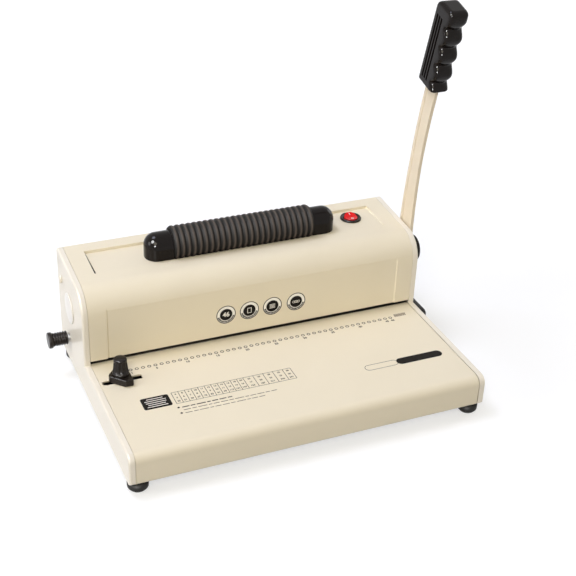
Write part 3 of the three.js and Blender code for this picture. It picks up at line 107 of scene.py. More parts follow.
lamp("overhead_lamp", (-0.7, 0.55, 2.3), 1.0, 22, (0.94, 0.99, 1.25))
lamp("front_lamp", (-1.3, -2.2, 2.1), 1.5, 44.5, (1, 0.92, 0.75))
lamp("left_lamp", (-2.3, 0.1, 0.9), 1.1, 17.5)
lamp("right_lamp", (2.2, 0.7, 1.0), 1.1, 7)
lamp("high_glint", (-1.6, -0.6, 1.9), 1.1, 150, glint_only=True)
lamp("low_glint", (-1.25, -2.0, 0.75), 0.5, 60, glint_only=True)


def node(tree, kind, settings={}, **sockets):
    """Adds a shader node. A socket of another node is linked to its input, and the rest are values."""
    made = tree.nodes.new(kind)
    for name, value in settings.items():
        setattr(made, name, value)
    for name, value in sockets.items():
        socket = made.inputs[int(name[1:]) if name[0] == "_" else name.replace("_", " ")]
        if isinstance(value, bpy.types.NodeSocket):
            tree.links.new(value, socket)
        else:
            socket.default_value = value
    return made


def empty_tree(owner):
    owner.use_nodes = True
    owner.node_tree.nodes.clear()
    return owner.node_tree


def maths(tree, operation, first, second):
    return node(tree, "ShaderNodeMath", {"operation": operation}, _0=first, _1=second).outputs[0]


def shown(tree):
    """1 for a ray from the camera, through glass or off gloss, and 0 for one that gathers light."""
    path = node(tree, "ShaderNodeLightPath").outputs
    seen = maths(tree, "MAXIMUM", path["Is Camera Ray"], path["Is Transmission Ray"])
    return maths(tree, "MAXIMUM", seen, path["Is Glossy Ray"])


WORLD_LIGHT = 0.34
world = bpy.data.worlds.new("studio_world")
bpy.context.scene.world = world
tree = empty_tree(world)
glow = node(tree, "ShaderNodeMapRange", Value=shown(tree), To_Min=WORLD_LIGHT, To_Max=1.0)
sky = node(tree, "ShaderNodeBackground", Color=(1, 1, 1, 1), Strength=glow.outputs[0])
node(tree, "ShaderNodeOutputWorld", Surface=sky.outputs[0])

TABLE_HALF = 6
GLOW_NEAR = 0.54
GLOW_FAR = 0.86
NEAR_RADIUS = 0.3
FAR_RADIUS = 3.0
TABLE_WHITE = (0.5, 0.5, 0.5)
corners = [(x * TABLE_HALF, y * TABLE_HALF, 0) for x, y in ((-1, -1), (1, -1), (1, 1), (-1, 1))]
table_mesh = bpy.data.meshes.new("table")
table_mesh.from_pydata(corners, [], [(0, 1, 2, 3)])
table = bpy.data.objects.new("table", table_mesh)
bpy.context.scene.collection.objects.link(table)
table_paper = bpy.data.materials.new("table_paper")
tree = empty_tree(table_paper)
in_view = shown(tree)
place = node(tree, "ShaderNodeNewGeometry").outputs["Position"]
away = node(tree, "ShaderNodeVectorMath", {"operation": "LENGTH"}, _0=place)
fill = node(
    tree, "ShaderNodeMapRange", Value=away.outputs["Value"],
    From_Min=NEAR_RADIUS, From_Max=FAR_RADIUS, To_Min=GLOW_NEAR, To_Max=GLOW_FAR,
)
glow = maths(tree, "MULTIPLY", in_view, fill.outputs["Result"])
diffuse = node(tree, "ShaderNodeBsdfDiffuse", Color=(*TABLE_WHITE, 1))
emission = node(tree, "ShaderNodeEmission", Strength=glow)
both = node(tree, "ShaderNodeAddShader", _0=diffuse.outputs[0], _1=emission.outputs[0])
node(tree, "ShaderNodeOutputMaterial", Surface=both.outputs[0])
table_mesh.materials.append(table_paper)

# Tower cover: a steel sheet folded over the punch, from its face up over a wide front bend and down
# behind, powder coated in cream. A shallow panel is pressed into its face, and a level one is sunk
# into the sloping roof for the roller and the switch.
BODY_HALF = 182.475
SIDE_RIM = 6
COVER_GAP = 0.3
COVER_HALF = BODY_HALF - SIDE_RIM - COVER_GAP
PANEL_HALF = 158.475
SHEET = 2
BASE_TOP = 43.7
TOWER_BOTTOM = 48.1
TOWER_REAR = 98
FRONT_BEND = 27
REAR_BEND = 5
ROOF_LEAN = 4.05
PANEL_FLOOR = 123.9
PANEL_FRONT = 38
PANEL_REAR = 80
RECESS_CLEAR = 9
FACE_PANEL_DEPTH = 0.8
PANEL_STEP = 1.2
CREASE = 1.0
CREASE_DEPTH = 1.6
CREASE_SLOPE = 0.3
SEAM = 1.6
SEAM_DEPTH = 1.6
REAR_LIP = 14
SWITCH = (130.975, 63)
SWITCH_HOLE = 10.2
BELT_HOLE = ((88.6, 95.6), (47, 63.6))
ROLLER_AXIS = (53, PANEL_FLOOR + 12.1)
TROUGH_RADIUS = 18.2
TROUGH_HALF = 76.4
TROUGH_SHEET = 1.2
TROUGH_DROP = 0.5
FOLD_FOOT = 1.3
FOLD_BITE = 0.5
FOLD_RISE = 1


def arc(centre, radius, start, end, steps):
    """Points of an arc in a plane, its angles in degrees."""
    turns = [math.radians(start + (end - start) * i / steps) for i in range(steps + 1)]
    return [(centre[0] + radius * math.cos(t), centre[1] + radius * math.sin(t)) for t in turns]


def circle(centre, radius, steps):
    return arc(centre, radius, 0, 360, steps)[:-1]


def weld(points, faces, name):
    """A closed mesh from points in mm: doubled points are joined and faces turned outwards."""
    mesh = bpy.data.meshes.new(name)
    mesh.from_pydata([at(*p) for p in points], [], faces)
    edit = bmesh.new()
    edit.from_mesh(mesh)
    bmesh.ops.remove_doubles(edit, verts=edit.verts, dist=0.003 * MM)
    bmesh.ops.dissolve_degenerate(edit, edges=edit.edges, dist=0.002 * MM)
    bmesh.ops.recalc_face_normals(edit, faces=edit.faces)
    edit.to_mesh(mesh)
    edit.free()
    return mesh


TURN = {"x": lambda a, b, c: (c, a, b), "y": lambda a, b, c: (b, c, a), "z": lambda a, b, c: (a, b, c)}


def wall_faces(points, count):
    """The faces between closed loops of points that follow one another."""
    faces = []
    for start in range(0, len(points) - count, count):
        for k in range(count):
            n = (k + 1) % count
            faces.append((start + k, start + n, start + count + n, start + count + k))
    return faces


def end_faces(points, count):
    return [tuple(range(count)), tuple(range(len(points) - count, len(points)))]


def loft(axis, loops, name="loft", closed=True):
    """A body through closed loops with equal numbers of points. A loop is (place on the axis, points)."""
    count = len(loops[0][1])
    points = [TURN[axis](a, b, c) for c, line in loops for a, b in line]
    ends = end_faces(points, count) if closed else []
    return weld(points, wall_faces(points, count) + ends, name)


def prism(axis, outline, span, name="prism"):
    return loft(axis, [(span[0], outline), (span[1], outline)], name)


def block(x, y, z):
    return prism("z", [(x[0], y[0]), (x[1], y[0]), (x[1], y[1]), (x[0], y[1])], z)


def lathe(axis, profile, centre, sides):
    """A body turned round an axis, from [radius, place]. Its profile ends on the axis or is closed."""
    points = []
    for i in range(sides):
        t = 2 * math.pi * i / sides
        a, b = math.cos(t), math.sin(t)
        points += [TURN[axis](centre[0] + r * a, centre[1] + r * b, c) for r, c in profile]
    count = len(profile)
    faces = []
    for i in range(sides):
        j = (i + 1) % sides
        for k in range(count - 1):
            faces.append((i * count + k, j * count + k, j * count + k + 1, i * count + k + 1))
    return weld(points, faces, "lathe")


def rod(axis, centre, radius, span, sides=32):
    return prism(axis, circle(centre, radius, sides), span)


def combine(mesh, tools, operation="DIFFERENCE"):
    """Takes solids away from a mesh, or joins them to it, for good. Cutters mostly reach 1 mm past it."""
    holder = bpy.data.objects.new("work", mesh)
    bpy.context.scene.collection.objects.link(holder)
    helpers = []
    for tool in tools:
        helper = bpy.data.objects.new("tool", tool)
        bpy.context.scene.collection.objects.link(helper)
        helpers.append(helper)
        step = holder.modifiers.new("cut", "BOOLEAN")
        step.operation = operation
        step.solver = "EXACT"
        step.object = helper
    bpy.context.view_layer.update()
    shaped = holder.evaluated_get(bpy.context.evaluated_depsgraph_get())
    result = bpy.data.meshes.new_from_object(shaped)
    for spent in [holder, *helpers]:
        bpy.data.objects.remove(spent)
    return result


def keep(name, mesh, body, finish, replaces=(), smooth=True):
    """Makes a mesh a piece of the machine that rides on a body."""
    piece = bpy.data.objects.new(name, mesh)
    bpy.context.scene.collection.objects.link(piece)
    mesh.materials.clear()
    mesh.materials.append(finish)
    for face in mesh.polygons:
        face.use_smooth = smooth
    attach(piece, body)
    if replaces:
        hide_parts(*replaces)
    return piece


def round_edges(piece, width, angle=32, segments=3, heavy=None):
    """Rounds a piece's sharp edges. Heavy says how much of the width an edge at a place gets."""
    bevel = piece.modifiers.new("rounded_edges", "BEVEL")
    bevel.width = width * MM
    bevel.segments = segments
    bevel.limit_method = "ANGLE"
    bevel.angle_limit = math.radians(angle)
    if heavy:
        edit = bmesh.new()
        edit.from_mesh(piece.data)
        edit.edges.ensure_lookup_table()
        layer = edit.edges.layers.float.new("bevel_weight_edge")
        for edge in edit.edges:
            if edge.calc_face_angle(0) > math.radians(angle):
                middle = (edge.verts[0].co + edge.verts[1].co) / 2 - origin
                edge[layer] = heavy(*(middle / MM))
        edit.to_mesh(piece.data)
        edit.free()
        bevel.limit_method = "WEIGHT"
    normals = piece.modifiers.new("flat_faces_stay_flat", "WEIGHTED_NORMAL")
    normals.keep_sharp = True
    return piece


def new_group(name, inputs, outputs):
    """An empty group of shader nodes with named sockets, and its two ends."""
    group = bpy.data.node_groups.new(name, "ShaderNodeTree")
    for label, kind, value in inputs:
        socket = group.interface.new_socket(name=label, in_out="INPUT", socket_type=kind)
        socket.default_value = value
    for label, kind in outputs:
        group.interface.new_socket(name=label, in_out="OUTPUT", socket_type=kind)
    return group, group.nodes.new("NodeGroupInput").outputs, group.nodes.new("NodeGroupOutput").inputs


NUMBER, TONE = "NodeSocketFloat", "NodeSocketColor"

# Grain of a coated or moulded skin: fine bumps of a given size, and slow patches a few cm across.
skin_grain, grain_in, grain_out = new_group(
    "skin_grain", [("Size", NUMBER, 0.001), ("Patch Size", NUMBER, 0.05)],
    [("Height", NUMBER), ("Patches", NUMBER)],
)
place = node(skin_grain, "ShaderNodeTexCoord").outputs["Object"]
fine = maths(skin_grain, "DIVIDE", 1.0, grain_in["Size"])
broad = maths(skin_grain, "DIVIDE", 1.0, grain_in["Patch Size"])
bumps = node(skin_grain, "ShaderNodeTexNoise", Vector=place, Scale=fine, Detail=2.0, Roughness=0.55)
patches = node(skin_grain, "ShaderNodeTexNoise", Vector=place, Scale=broad, Detail=3.0, Roughness=0.5)
skin_grain.links.new(bumps.outputs[0], grain_out["Height"])
skin_grain.links.new(patches.outputs[0], grain_out["Patches"])

# Tone drift: a colour that grows slightly lighter and darker where a mask says so.
tone_drift, drift_in, drift_out = new_group(
    "tone_drift", [("Colour", TONE, (1, 1, 1, 1)), ("Mask", NUMBER, 0.5), ("Amount", NUMBER, 0.1)],
    [("Colour", TONE)],
)
swing = maths(tone_drift, "SUBTRACT", drift_in["Mask"], 0.5)
scaled = maths(tone_drift, "MULTIPLY", swing, drift_in["Amount"])
factor = maths(tone_drift, "ADD", scaled, 1.0)
toned = node(
    tone_drift, "ShaderNodeVectorMath", {"operation": "SCALE"}, _0=drift_in["Colour"], Scale=factor
)
tone_drift.links.new(toned.outputs[0], drift_out["Colour"])


def surface(tree, colour, mask, drift, **sockets):
    """Ends a material with its surface, whose colour drifts by a mask."""
    tone = node(
        tree, "ShaderNodeGroup", {"node_tree": tone_drift}, Colour=colour, Mask=mask, Amount=drift
    )
    shader = node(tree, "ShaderNodeBsdfPrincipled", Base_Color=tone.outputs[0], **sockets)
    node(tree, "ShaderNodeOutputMaterial", Surface=shader.outputs[0])


def skin(
    name, colour, roughness, grain, bump, drift, metallic=0.0, coat=0.0, specular=0.5, rough_swing=0.06
):
    """A coated, moulded or rolled surface, with its grain as bump and slow changes of tone and gloss."""
    finish = bpy.data.materials.new(name)
    tree = empty_tree(finish)
    texture = node(tree, "ShaderNodeGroup", {"node_tree": skin_grain}, Size=grain, Patch_Size=0.05).outputs
    gloss = node(
        tree, "ShaderNodeMapRange", Value=texture["Patches"],
        To_Min=roughness - rough_swing, To_Max=roughness + rough_swing,
    )
    relief = node(tree, "ShaderNodeBump", Strength=bump, Distance=0.0002, Height=texture["Height"])
    surface(
        tree, (*colour, 1), texture["Patches"], drift,
        Roughness=gloss.outputs[0], Metallic=metallic, Normal=relief.outputs[0],
        Coat_Weight=coat, Coat_Roughness=0.12, Specular_IOR_Level=specular,
    )
    return finish


cream_coat = skin("cream_powder_coat", (0.79, 0.713, 0.55), 0.42, 0.0011, 0.12, 0.05, specular=0.28)


def roof(y):
    return PANEL_FLOOR + (y - PANEL_FRONT) * math.tan(math.radians(ROOF_LEAN))


def tower_line(inset, steps=24):
    """The tower's outline from the side, from its face up, over and down to its rear."""
    slope = math.cos(math.radians(ROOF_LEAN))
    front = (FRONT_BEND, roof(FRONT_BEND) - FRONT_BEND / slope)
    rear = (TOWER_REAR - REAR_BEND, roof(TOWER_REAR - REAR_BEND) - REAR_BEND / slope)
    return (
        arc(front, FRONT_BEND - inset, 180, 90 + ROOF_LEAN, steps),
        arc(rear, REAR_BEND - inset, 90 + ROOF_LEAN, 0, steps // 3),
    )


outer_front, outer_rear = tower_line(0)
inner_front, inner_rear = tower_line(SHEET)
shelf = PANEL_FLOOR - SHEET
under_roof = roof(PANEL_REAR + SHEET) - SHEET / math.cos(math.radians(ROOF_LEAN))
tower_outside = [(0, TOWER_BOTTOM), *outer_front, *outer_rear, (TOWER_REAR, TOWER_BOTTOM)]
tower_inside = [
    (SHEET, TOWER_BOTTOM - 1), *inner_front, (PANEL_FRONT, shelf), (PANEL_REAR + SHEET, shelf),
    (PANEL_REAR + SHEET, under_roof), *inner_rear, (TOWER_REAR - SHEET, TOWER_BOTTOM - 1),
]
face_panel = [
    (-PANEL_HALF, -1), (-PANEL_HALF, CREASE_DEPTH), (CREASE - PANEL_HALF, CREASE_DEPTH),
    (CREASE + CREASE_SLOPE - PANEL_HALF, FACE_PANEL_DEPTH),
    (PANEL_HALF - PANEL_STEP, FACE_PANEL_DEPTH), (PANEL_HALF, 0), (PANEL_HALF, -1),
]
panel = (-PANEL_HALF, PANEL_HALF)
seam = (-PANEL_HALF, SEAM - PANEL_HALF)
past_ends = (-COVER_HALF - 1, COVER_HALF + 1)
rear_wall = (TOWER_REAR - SHEET - 1, TOWER_REAR + 1)
through_panel = (shelf - 1, PANEL_FLOOR + 1)
tower_mesh = combine(
    prism("x", tower_outside, (-COVER_HALF, COVER_HALF), "tower_cover"),
    [
        prism("x", tower_inside, past_ends),
        block(past_ends, rear_wall, (TOWER_BOTTOM - 1, roof(TOWER_REAR) - REAR_LIP)),
        prism("z", face_panel, (TOWER_BOTTOM - 1, PANEL_FLOOR)),
        block(panel, (PANEL_FRONT - 0.5, PANEL_REAR), (PANEL_FLOOR, PANEL_FLOOR + RECESS_CLEAR)),
        block(seam, (PANEL_FRONT, PANEL_REAR), (PANEL_FLOOR - SEAM_DEPTH, PANEL_FLOOR + 1)),
        block(*BELT_HOLE, through_panel),
        rod("z", SWITCH, SWITCH_HOLE, through_panel),
    ],
)
bowl_radius = TROUGH_RADIUS + TROUGH_SHEET
bowl_half = TROUGH_HALF + TROUGH_SHEET
lip = math.degrees(math.asin((ROLLER_AXIS[1] - PANEL_FLOOR + TROUGH_DROP) / bowl_radius))
bowl = prism("x", arc(ROLLER_AXIS, bowl_radius, 180 + lip, 360 - lip, 24), (-bowl_half, bowl_half))
tower_mesh = combine(tower_mesh, [bowl], "UNION")
tower_mesh = combine(tower_mesh, [rod("x", ROLLER_AXIS, TROUGH_RADIUS, (-TROUGH_HALF, TROUGH_HALF), 96)])
edge_fold = [
    (PANEL_HALF - FOLD_FOOT, PANEL_FLOOR - FOLD_BITE), (PANEL_HALF + FOLD_BITE, PANEL_FLOOR - FOLD_BITE),
    (PANEL_HALF + FOLD_BITE, PANEL_FLOOR + FOLD_RISE), (PANEL_HALF, PANEL_FLOOR + FOLD_RISE),
]
fold = prism("y", [(z, x) for x, z in edge_fold], (PANEL_FRONT + 0.4, PANEL_REAR - 0.2))
tower_mesh = combine(tower_mesh, [fold], "UNION")


def sheet_edges(x, y, z):
    """Little rounding at a sheet's ends, which meet the side covers, and the full width elsewhere."""
    return 0.3 if abs(abs(x) - COVER_HALF) < 0.2 else 1.0


tower = keep("tower_sheet", tower_mesh, "machine", cream_coat, ["tower_cover"])
round_edges(tower, 0.4, heavy=sheet_edges)

# Base cover: the cream steel sheet that the paper lies on, folded over a bend at its front and tucked
# in along its bottom edge. A slot near its left end lets the side guide's bolt through.
BASE_FRONT = -151.7
BASE_REAR = 9.7
FOOT_HEIGHT = 10
BASE_BEND = 9
BASE_TUCK = 4
GUIDE = (-155.375, -33.6)
SLOT_HALF = 3.5
SLOT_LEFT = GUIDE[0] - 15
SLOT_RIGHT = GUIDE[0] + 20.9


def base_line(inset, steps=20):
    """The base's outline from the side, from its top forward and down to its bottom edge."""
    front, bottom = BASE_FRONT + inset, FOOT_HEIGHT + inset
    bend = arc((BASE_FRONT + BASE_BEND, BASE_TOP - BASE_BEND), BASE_BEND - inset, 90, 180, steps)
    return [*bend, (front, bottom + BASE_TUCK), (front + BASE_TUCK, bottom)]


# The base steps down along its rear, under the punch, to hold a dark strip of painted shade in the throat.
SHADE_STRIP_FRONT = 2.7
SHADE_STRIP_DEPTH = 0.6
RIGHT_SEAM = 0.8
base_outside = [
    (BASE_REAR, FOOT_HEIGHT), (BASE_REAR, BASE_TOP - SHADE_STRIP_DEPTH), (SHADE_STRIP_FRONT, BASE_TOP - SHADE_STRIP_DEPTH),
    (SHADE_STRIP_FRONT, BASE_TOP), *base_line(0),
]
base_inside = [
    (BASE_REAR + 1, FOOT_HEIGHT - 1), (BASE_REAR + 1, BASE_TOP - SHEET), *base_line(SHEET)[:-2],
    (BASE_FRONT + SHEET, FOOT_HEIGHT + BASE_TUCK), (BASE_FRONT + SHEET + BASE_TUCK, FOOT_HEIGHT - 1),
]
slot_line = arc((SLOT_LEFT, GUIDE[1]), SLOT_HALF, 90, 270, 12) + [
    (SLOT_RIGHT, GUIDE[1] - SLOT_HALF), (SLOT_RIGHT, GUIDE[1] + SLOT_HALF)
]
base_mesh = combine(
    prism("x", base_outside, (-COVER_HALF, COVER_HALF - RIGHT_SEAM), "base_cover"),
    [prism("x", base_inside, past_ends), prism("z", slot_line, (BASE_TOP - SHEET - 1, BASE_TOP + 1))],
)
base = keep("base_sheet", base_mesh, "machine", cream_coat, ["base_cover"])
round_edges(base, 0.5, heavy=sheet_edges)

# Side covers: two cream mouldings that run round the ends of base and tower with a rounded rim, and
# are screwed to the frames inside. The left one has a round plug in its assembly hole.
SIDE_WALL = 2.5
SIDE_ROUNDING = 2.4
MARGIN_AXIS = (62.1, 40.8)
SHAFT_AXIS = (38, 89.5)
PLUG = (51.7, 81.2)
MARGIN_HOLE = 3.5
SHAFT_HOLE = 8.5
PLUG_HOLE = 5.3
PULL_OPENING = ((-12.5, 50.5), (12, 37.8))
END_WALL = (170, BODY_HALF + 1)
cream_moulding = skin("cream_moulding", (0.805, 0.745, 0.63), 0.34, 0.0007, 0.05, 0.04, coat=0.15)
plug_moulding = skin("plug_moulding", (0.84, 0.81, 0.75), 0.3, 0.0008, 0.05, 0.03)


def side_line(inset):
    front, rear = tower_line(inset)
    return [
        (inset, BASE_TOP - inset), *base_line(inset), (TOWER_REAR - inset, FOOT_HEIGHT + inset),
        *reversed(rear), *reversed(front),
    ]


def mirrored(side, low, high):
    """A span at the right end, or where the side is -1 the same span at the left end."""
    return (low, high) if side > 0 else (-high, -low)


def side_moulding(side, holes):
    rim = BODY_HALF - SIDE_RIM
    whole = prism("x", side_line(0), mirrored(side, rim, BODY_HALF), "side_cover")
    hollow = prism("x", side_line(SIDE_WALL), mirrored(side, rim - 1, BODY_HALF - SIDE_WALL))
    return combine(whole, [hollow, *holes])


def side_edges(x, y, z):
    """Wide rounding outside, less along the inner edge of the rim, and little elsewhere."""
    if abs(abs(x) - BODY_HALF) < 0.2:
        return 1.0
    inner_rim = 0.04 if x < 0 else 0.32
    return inner_rim if abs(abs(x) - BODY_HALF + SIDE_RIM) < 0.2 else 0.12


left_wall = mirrored(-1, *END_WALL)
left_holes = [rod("x", MARGIN_AXIS, MARGIN_HOLE, left_wall), rod("x", PLUG, PLUG_HOLE, left_wall)]
right_holes = [rod("x", SHAFT_AXIS, SHAFT_HOLE, END_WALL), block(END_WALL, *PULL_OPENING)]
for side, label, holes in ((-1, "left", left_holes), (1, "right", right_holes)):
    cover = keep(
        label + "_side_moulding", side_moulding(side, holes), "machine", cream_moulding,
        [label + "_side_cover"],
    )
    round_edges(cover, SIDE_ROUNDING, segments=4, heavy=side_edges)

plug_face = -(BODY_HALF + 1.3)
plug_profile = [
    (0, plug_face - 0.25), (8, plug_face - 0.2), (13.5, plug_face), (15, plug_face + 0.1),
    (15.8, plug_face + 0.4), (16, plug_face + 1), (5, plug_face + 1), (5, plug_face + 4.8),
    (0, plug_face + 4.8),
]
plug_mesh = lathe("x", plug_profile, PLUG, 48)
keep("left_plug", plug_mesh, "machine", plug_moulding, ["left_cover_plug"])

# Feet: four moulded rubber buttons pressed into the bottom plate, rounded to a smaller tread below.
foot_rubber = skin(
    "foot_rubber", (0.01, 0.009, 0.008), 0.5, 0.0009, 0.25, 0.3, specular=0.25, rough_swing=0.1
)
foot_profile = [
    (0, 0), (5.4, 0), *arc((5.6, 3.2), 3.2, -88, -30, 6), *arc((2, 5.2), 8, -14, 0, 4), (10, 9.7), (0, 9.7)
]
for corner in ("front_left", "front_right", "rear_left", "rear_right"):
    low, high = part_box(corner + "_foot")
    middle = ((low + high) / 2 - origin) / MM
    mesh = lathe("z", foot_profile, (middle.x, middle.y), 40)
    keep(corner + "_rubber_foot", mesh, "machine", foot_rubber, [corner + "_foot"])

# Coil roller: a ribbed rubber sleeve pushed over a plastic core on a steel shaft. The ribs are round
# bands with narrow grooves between them, dull and brownish. The grooves are darkened with painted shade,
# and the rib tops are lighter with painted light.
ROLLER_HALF = 76.1
ROLLER_RADIUS = 17.2
ROLLER_BORE = 13.3
ROLLER_RIBS = 25
RIB_DEPTH = 1.6
RIB_FULLNESS = 0.9


def bands(low, high, count, outer, depth, fullness, steps=8):
    """Profile of round ribs side by side, from low to high along the axis."""
    pitch = (high - low) / count
    line = []
    for i in range(count):
        for k in range(steps):
            swell = math.sin(math.pi * (k / steps)) ** fullness
            line.append((outer - depth * (1 - swell), low + (i + k / steps) * pitch))
    return [*line, (outer - depth, high)]


# Colour along the roller: painted shade in the grooves, and the rubber's tone with painted light on the
# rib tops.
PAINTED_GROOVE_SHADE = (0.006, 0.005, 0.004)
RIB_TONE_AND_PAINTED_LIGHT = (0.088, 0.07, 0.058)
rubber = bpy.data.materials.new("sleeve_rubber")
tree = empty_tree(rubber)
texture = node(tree, "ShaderNodeGroup", {"node_tree": skin_grain}, Size=0.0009, Patch_Size=0.02).outputs
split = node(tree, "ShaderNodeSeparateXYZ", Vector=node(tree, "ShaderNodeTexCoord").outputs["Object"])
from_end = maths(tree, "SUBTRACT", split.outputs["X"], origin.x - ROLLER_HALF * MM)
rib_pitch = 2 * ROLLER_HALF / ROLLER_RIBS * MM
on_rib = maths(tree, "PINGPONG", from_end, rib_pitch / 2)
rib_top_light = node(
    tree, "ShaderNodeMapRange", {"interpolation_type": "SMOOTHSTEP"},
    Value=on_rib, From_Min=0.16 * rib_pitch, From_Max=0.5 * rib_pitch,
)
painted_rib_shading = node(tree, "ShaderNodeValToRGB", Fac=rib_top_light.outputs[0])
for stop, shade in enumerate((PAINTED_GROOVE_SHADE, RIB_TONE_AND_PAINTED_LIGHT)):
    painted_rib_shading.color_ramp.elements[stop].color = (*shade, 1)
gloss = node(tree, "ShaderNodeMapRange", Value=texture["Height"], To_Min=0.5, To_Max=0.72)
relief = node(tree, "ShaderNodeBump", Strength=0.3, Distance=0.0002, Height=texture["Height"])
surface(
    tree, painted_rib_shading.outputs[0], texture["Patches"], 0.5,
    Roughness=gloss.outputs[0], Normal=relief.outputs[0], Specular_IOR_Level=0.15,
)

ribs = bands(-ROLLER_HALF, ROLLER_HALF, ROLLER_RIBS, ROLLER_RADIUS, RIB_DEPTH, RIB_FULLNESS)
sleeve_profile = [
    (ROLLER_BORE, -ROLLER_HALF), *ribs, (ROLLER_BORE, ROLLER_HALF), (ROLLER_BORE, -ROLLER_HALF)
]
sleeve_mesh = lathe("x", sleeve_profile, ROLLER_AXIS, 64)
keep("ribbed_sleeve", sleeve_mesh, "roller", rubber, ["roller_sleeve"])

# Roller housings: two glossy black caps screwed to the roof from below. They hold the bushes of the
# roller's shaft and are hollow inside, where the belt comes up to the pulley in the right one.
HOUSING_RADIUS = 13.5
HOUSING_INNER = ROLLER_HALF + 0.3
HOUSING_OUTER = HOUSING_INNER + 27
HOUSING_END = 12.5
HOUSING_BOTTOM = PANEL_FLOOR + 0.3
HOUSING_STEPS = 10
WELL_RADIUS = 10.3
WELL = (84.4, 96.4)
BUSH_RADIUS = 6.3
BUSH = (70, 86)
gloss_black = skin(
    "gloss_black_moulding", (0.008, 0.0055, 0.0045), 0.08, 0.0006, 0.015, 0.4,
    specular=0.16, rough_swing=0.02,
)


def domed(radius, low, steps=24):
    """A housing's outline from its end: half round above, with straight sides down to a height."""
    y = ROLLER_AXIS[0]
    return [*arc(ROLLER_AXIS, radius, 0, 180, steps), (y - radius, low), (y + radius, low)]


for side, label in ((-1, "left"), (1, "right")):
    loops = [(side * HOUSING_INNER, domed(HOUSING_RADIUS, HOUSING_BOTTOM))]
    for i in range(HOUSING_STEPS + 1):
        t = math.pi / 2 * i / HOUSING_STEPS
        place = HOUSING_OUTER - HOUSING_END + HOUSING_END * math.sin(t)
        radius = HOUSING_RADIUS - HOUSING_END * (1 - math.cos(t))
        loops.append((side * place, domed(radius, HOUSING_BOTTOM)))
    well = prism("x", domed(WELL_RADIUS, HOUSING_BOTTOM - 1, 16), mirrored(side, *WELL))
    bush_bore = rod("x", ROLLER_AXIS, BUSH_RADIUS, mirrored(side, *BUSH))
    mesh = combine(loft("x", loops), [well, bush_bore])
    housing = keep(
        label + "_cap", mesh, "machine", gloss_black, [label + "_roller_housing"]
    )
    round_edges(housing, 0.5, angle=40)

# Power switch: a red rocker in a round black bezel that snaps into the roof. Its rear half stands up,
# and its two faces carry a bar and a ring moulded in white.
ROCKER_AXIS = (*SWITCH, PANEL_FLOOR - 1.5)
ROCKER_TILT = math.radians(10)
ROCKER_RADIUS = 7.1
PIVOT_RADIUS = 0.9
PIVOT_HOLE = 1.2
MARK_AHEAD = 4.2
BEZEL_TOP = PANEL_FLOOR + 2.3
satin_black = skin("satin_black_moulding", (0.015, 0.011, 0.009), 0.25, 0.0008, 0.1, 0.5, specular=0.2)
red_moulding = skin("red_moulding", (0.74, 0.001, 0.003), 0.2, 0.0015, 0.02, 0.15, specular=0.25)
white_fill = skin("white_fill", (0.8, 0.7, 0.68), 0.4, 0.001, 0.02, 0.05)
bezel_profile = [
    (0, BEZEL_TOP - 17), (9.9, BEZEL_TOP - 17), (9.9, PANEL_FLOOR + 0.3), (11.5, PANEL_FLOOR + 0.3),
    *arc((10.2, BEZEL_TOP - 1.3), 1.3, 0, 100, 8),
    (8.3, BEZEL_TOP - 0.4), (8.3, BEZEL_TOP - 9), (0, BEZEL_TOP - 9),
]
x, y, z = ROCKER_AXIS
pivot_hole = rod("x", (y, z), PIVOT_HOLE, (x - 12.5, x + 12.5), 16)
bezel_mesh = combine(lathe("z", bezel_profile, SWITCH, 64), [pivot_hole])
keep("switch_bezel", bezel_mesh, "machine", satin_black, ["switch_body"])


def tilted(mesh):
    """Turns a mesh drawn round the level rocker to the rocker's tilt at rest."""
    pivot = at(*ROCKER_AXIS)
    turn = Matrix.Translation(pivot) @ Matrix.Rotation(ROCKER_TILT, 4, "X") @ Matrix.Translation(-pivot)
    mesh.transform(turn)
    return mesh


near, far = y - ROCKER_RADIUS, y + ROCKER_RADIUS
rocker_side = [
    (near, z), (y, z - 4), (far, z), (far, z + 5.5), (y + 3.4, z + 4.5), (y, z + 3.9),
    (y - 3.4, z + 4.5), (near, z + 5.5),
]
disc = rod("z", (x, y), ROCKER_RADIUS, (z - 5, z + 7), 48)
pivot = rod("x", (y, z), PIVOT_RADIUS, (x - 9.3, x + 9.3), 16)
rocker_mesh = combine(prism("x", rocker_side, (x - 9, x + 9)), [disc], "INTERSECT")
rocker_mesh = combine(rocker_mesh, [pivot], "UNION")
rocker = keep("red_rocker", tilted(rocker_mesh), "rocker", red_moulding, ["switch_rocker"])
round_edges(rocker, 0.5)
slope = math.atan2(1.6, ROCKER_RADIUS)
mark_height = z + 4.0 + MARK_AHEAD * math.tan(slope) * 0.86
ring_mesh = lathe("z", [(1.0, 0), (1.5, 0), (1.5, 0.35), (1.0, 0.35), (1.0, 0)], (0, 0), 24)
bar_mesh = block((-0.35, 0.35), (-1.6, 1.6), (0, 0.35))
for label, mesh, ahead in (("ring", ring_mesh, -MARK_AHEAD), ("bar", bar_mesh, MARK_AHEAD)):
    lift = Matrix.Translation(at(x, y + ahead, mark_height) - origin)
    mesh.transform(Matrix.Translation(-origin))
    mesh.transform(Matrix.Rotation(math.copysign(slope, ahead), 4, "X"))
    mesh.transform(Matrix.Translation(origin) @ lift)
    keep("rocker_" + label, tilted(mesh), "rocker", white_fill)

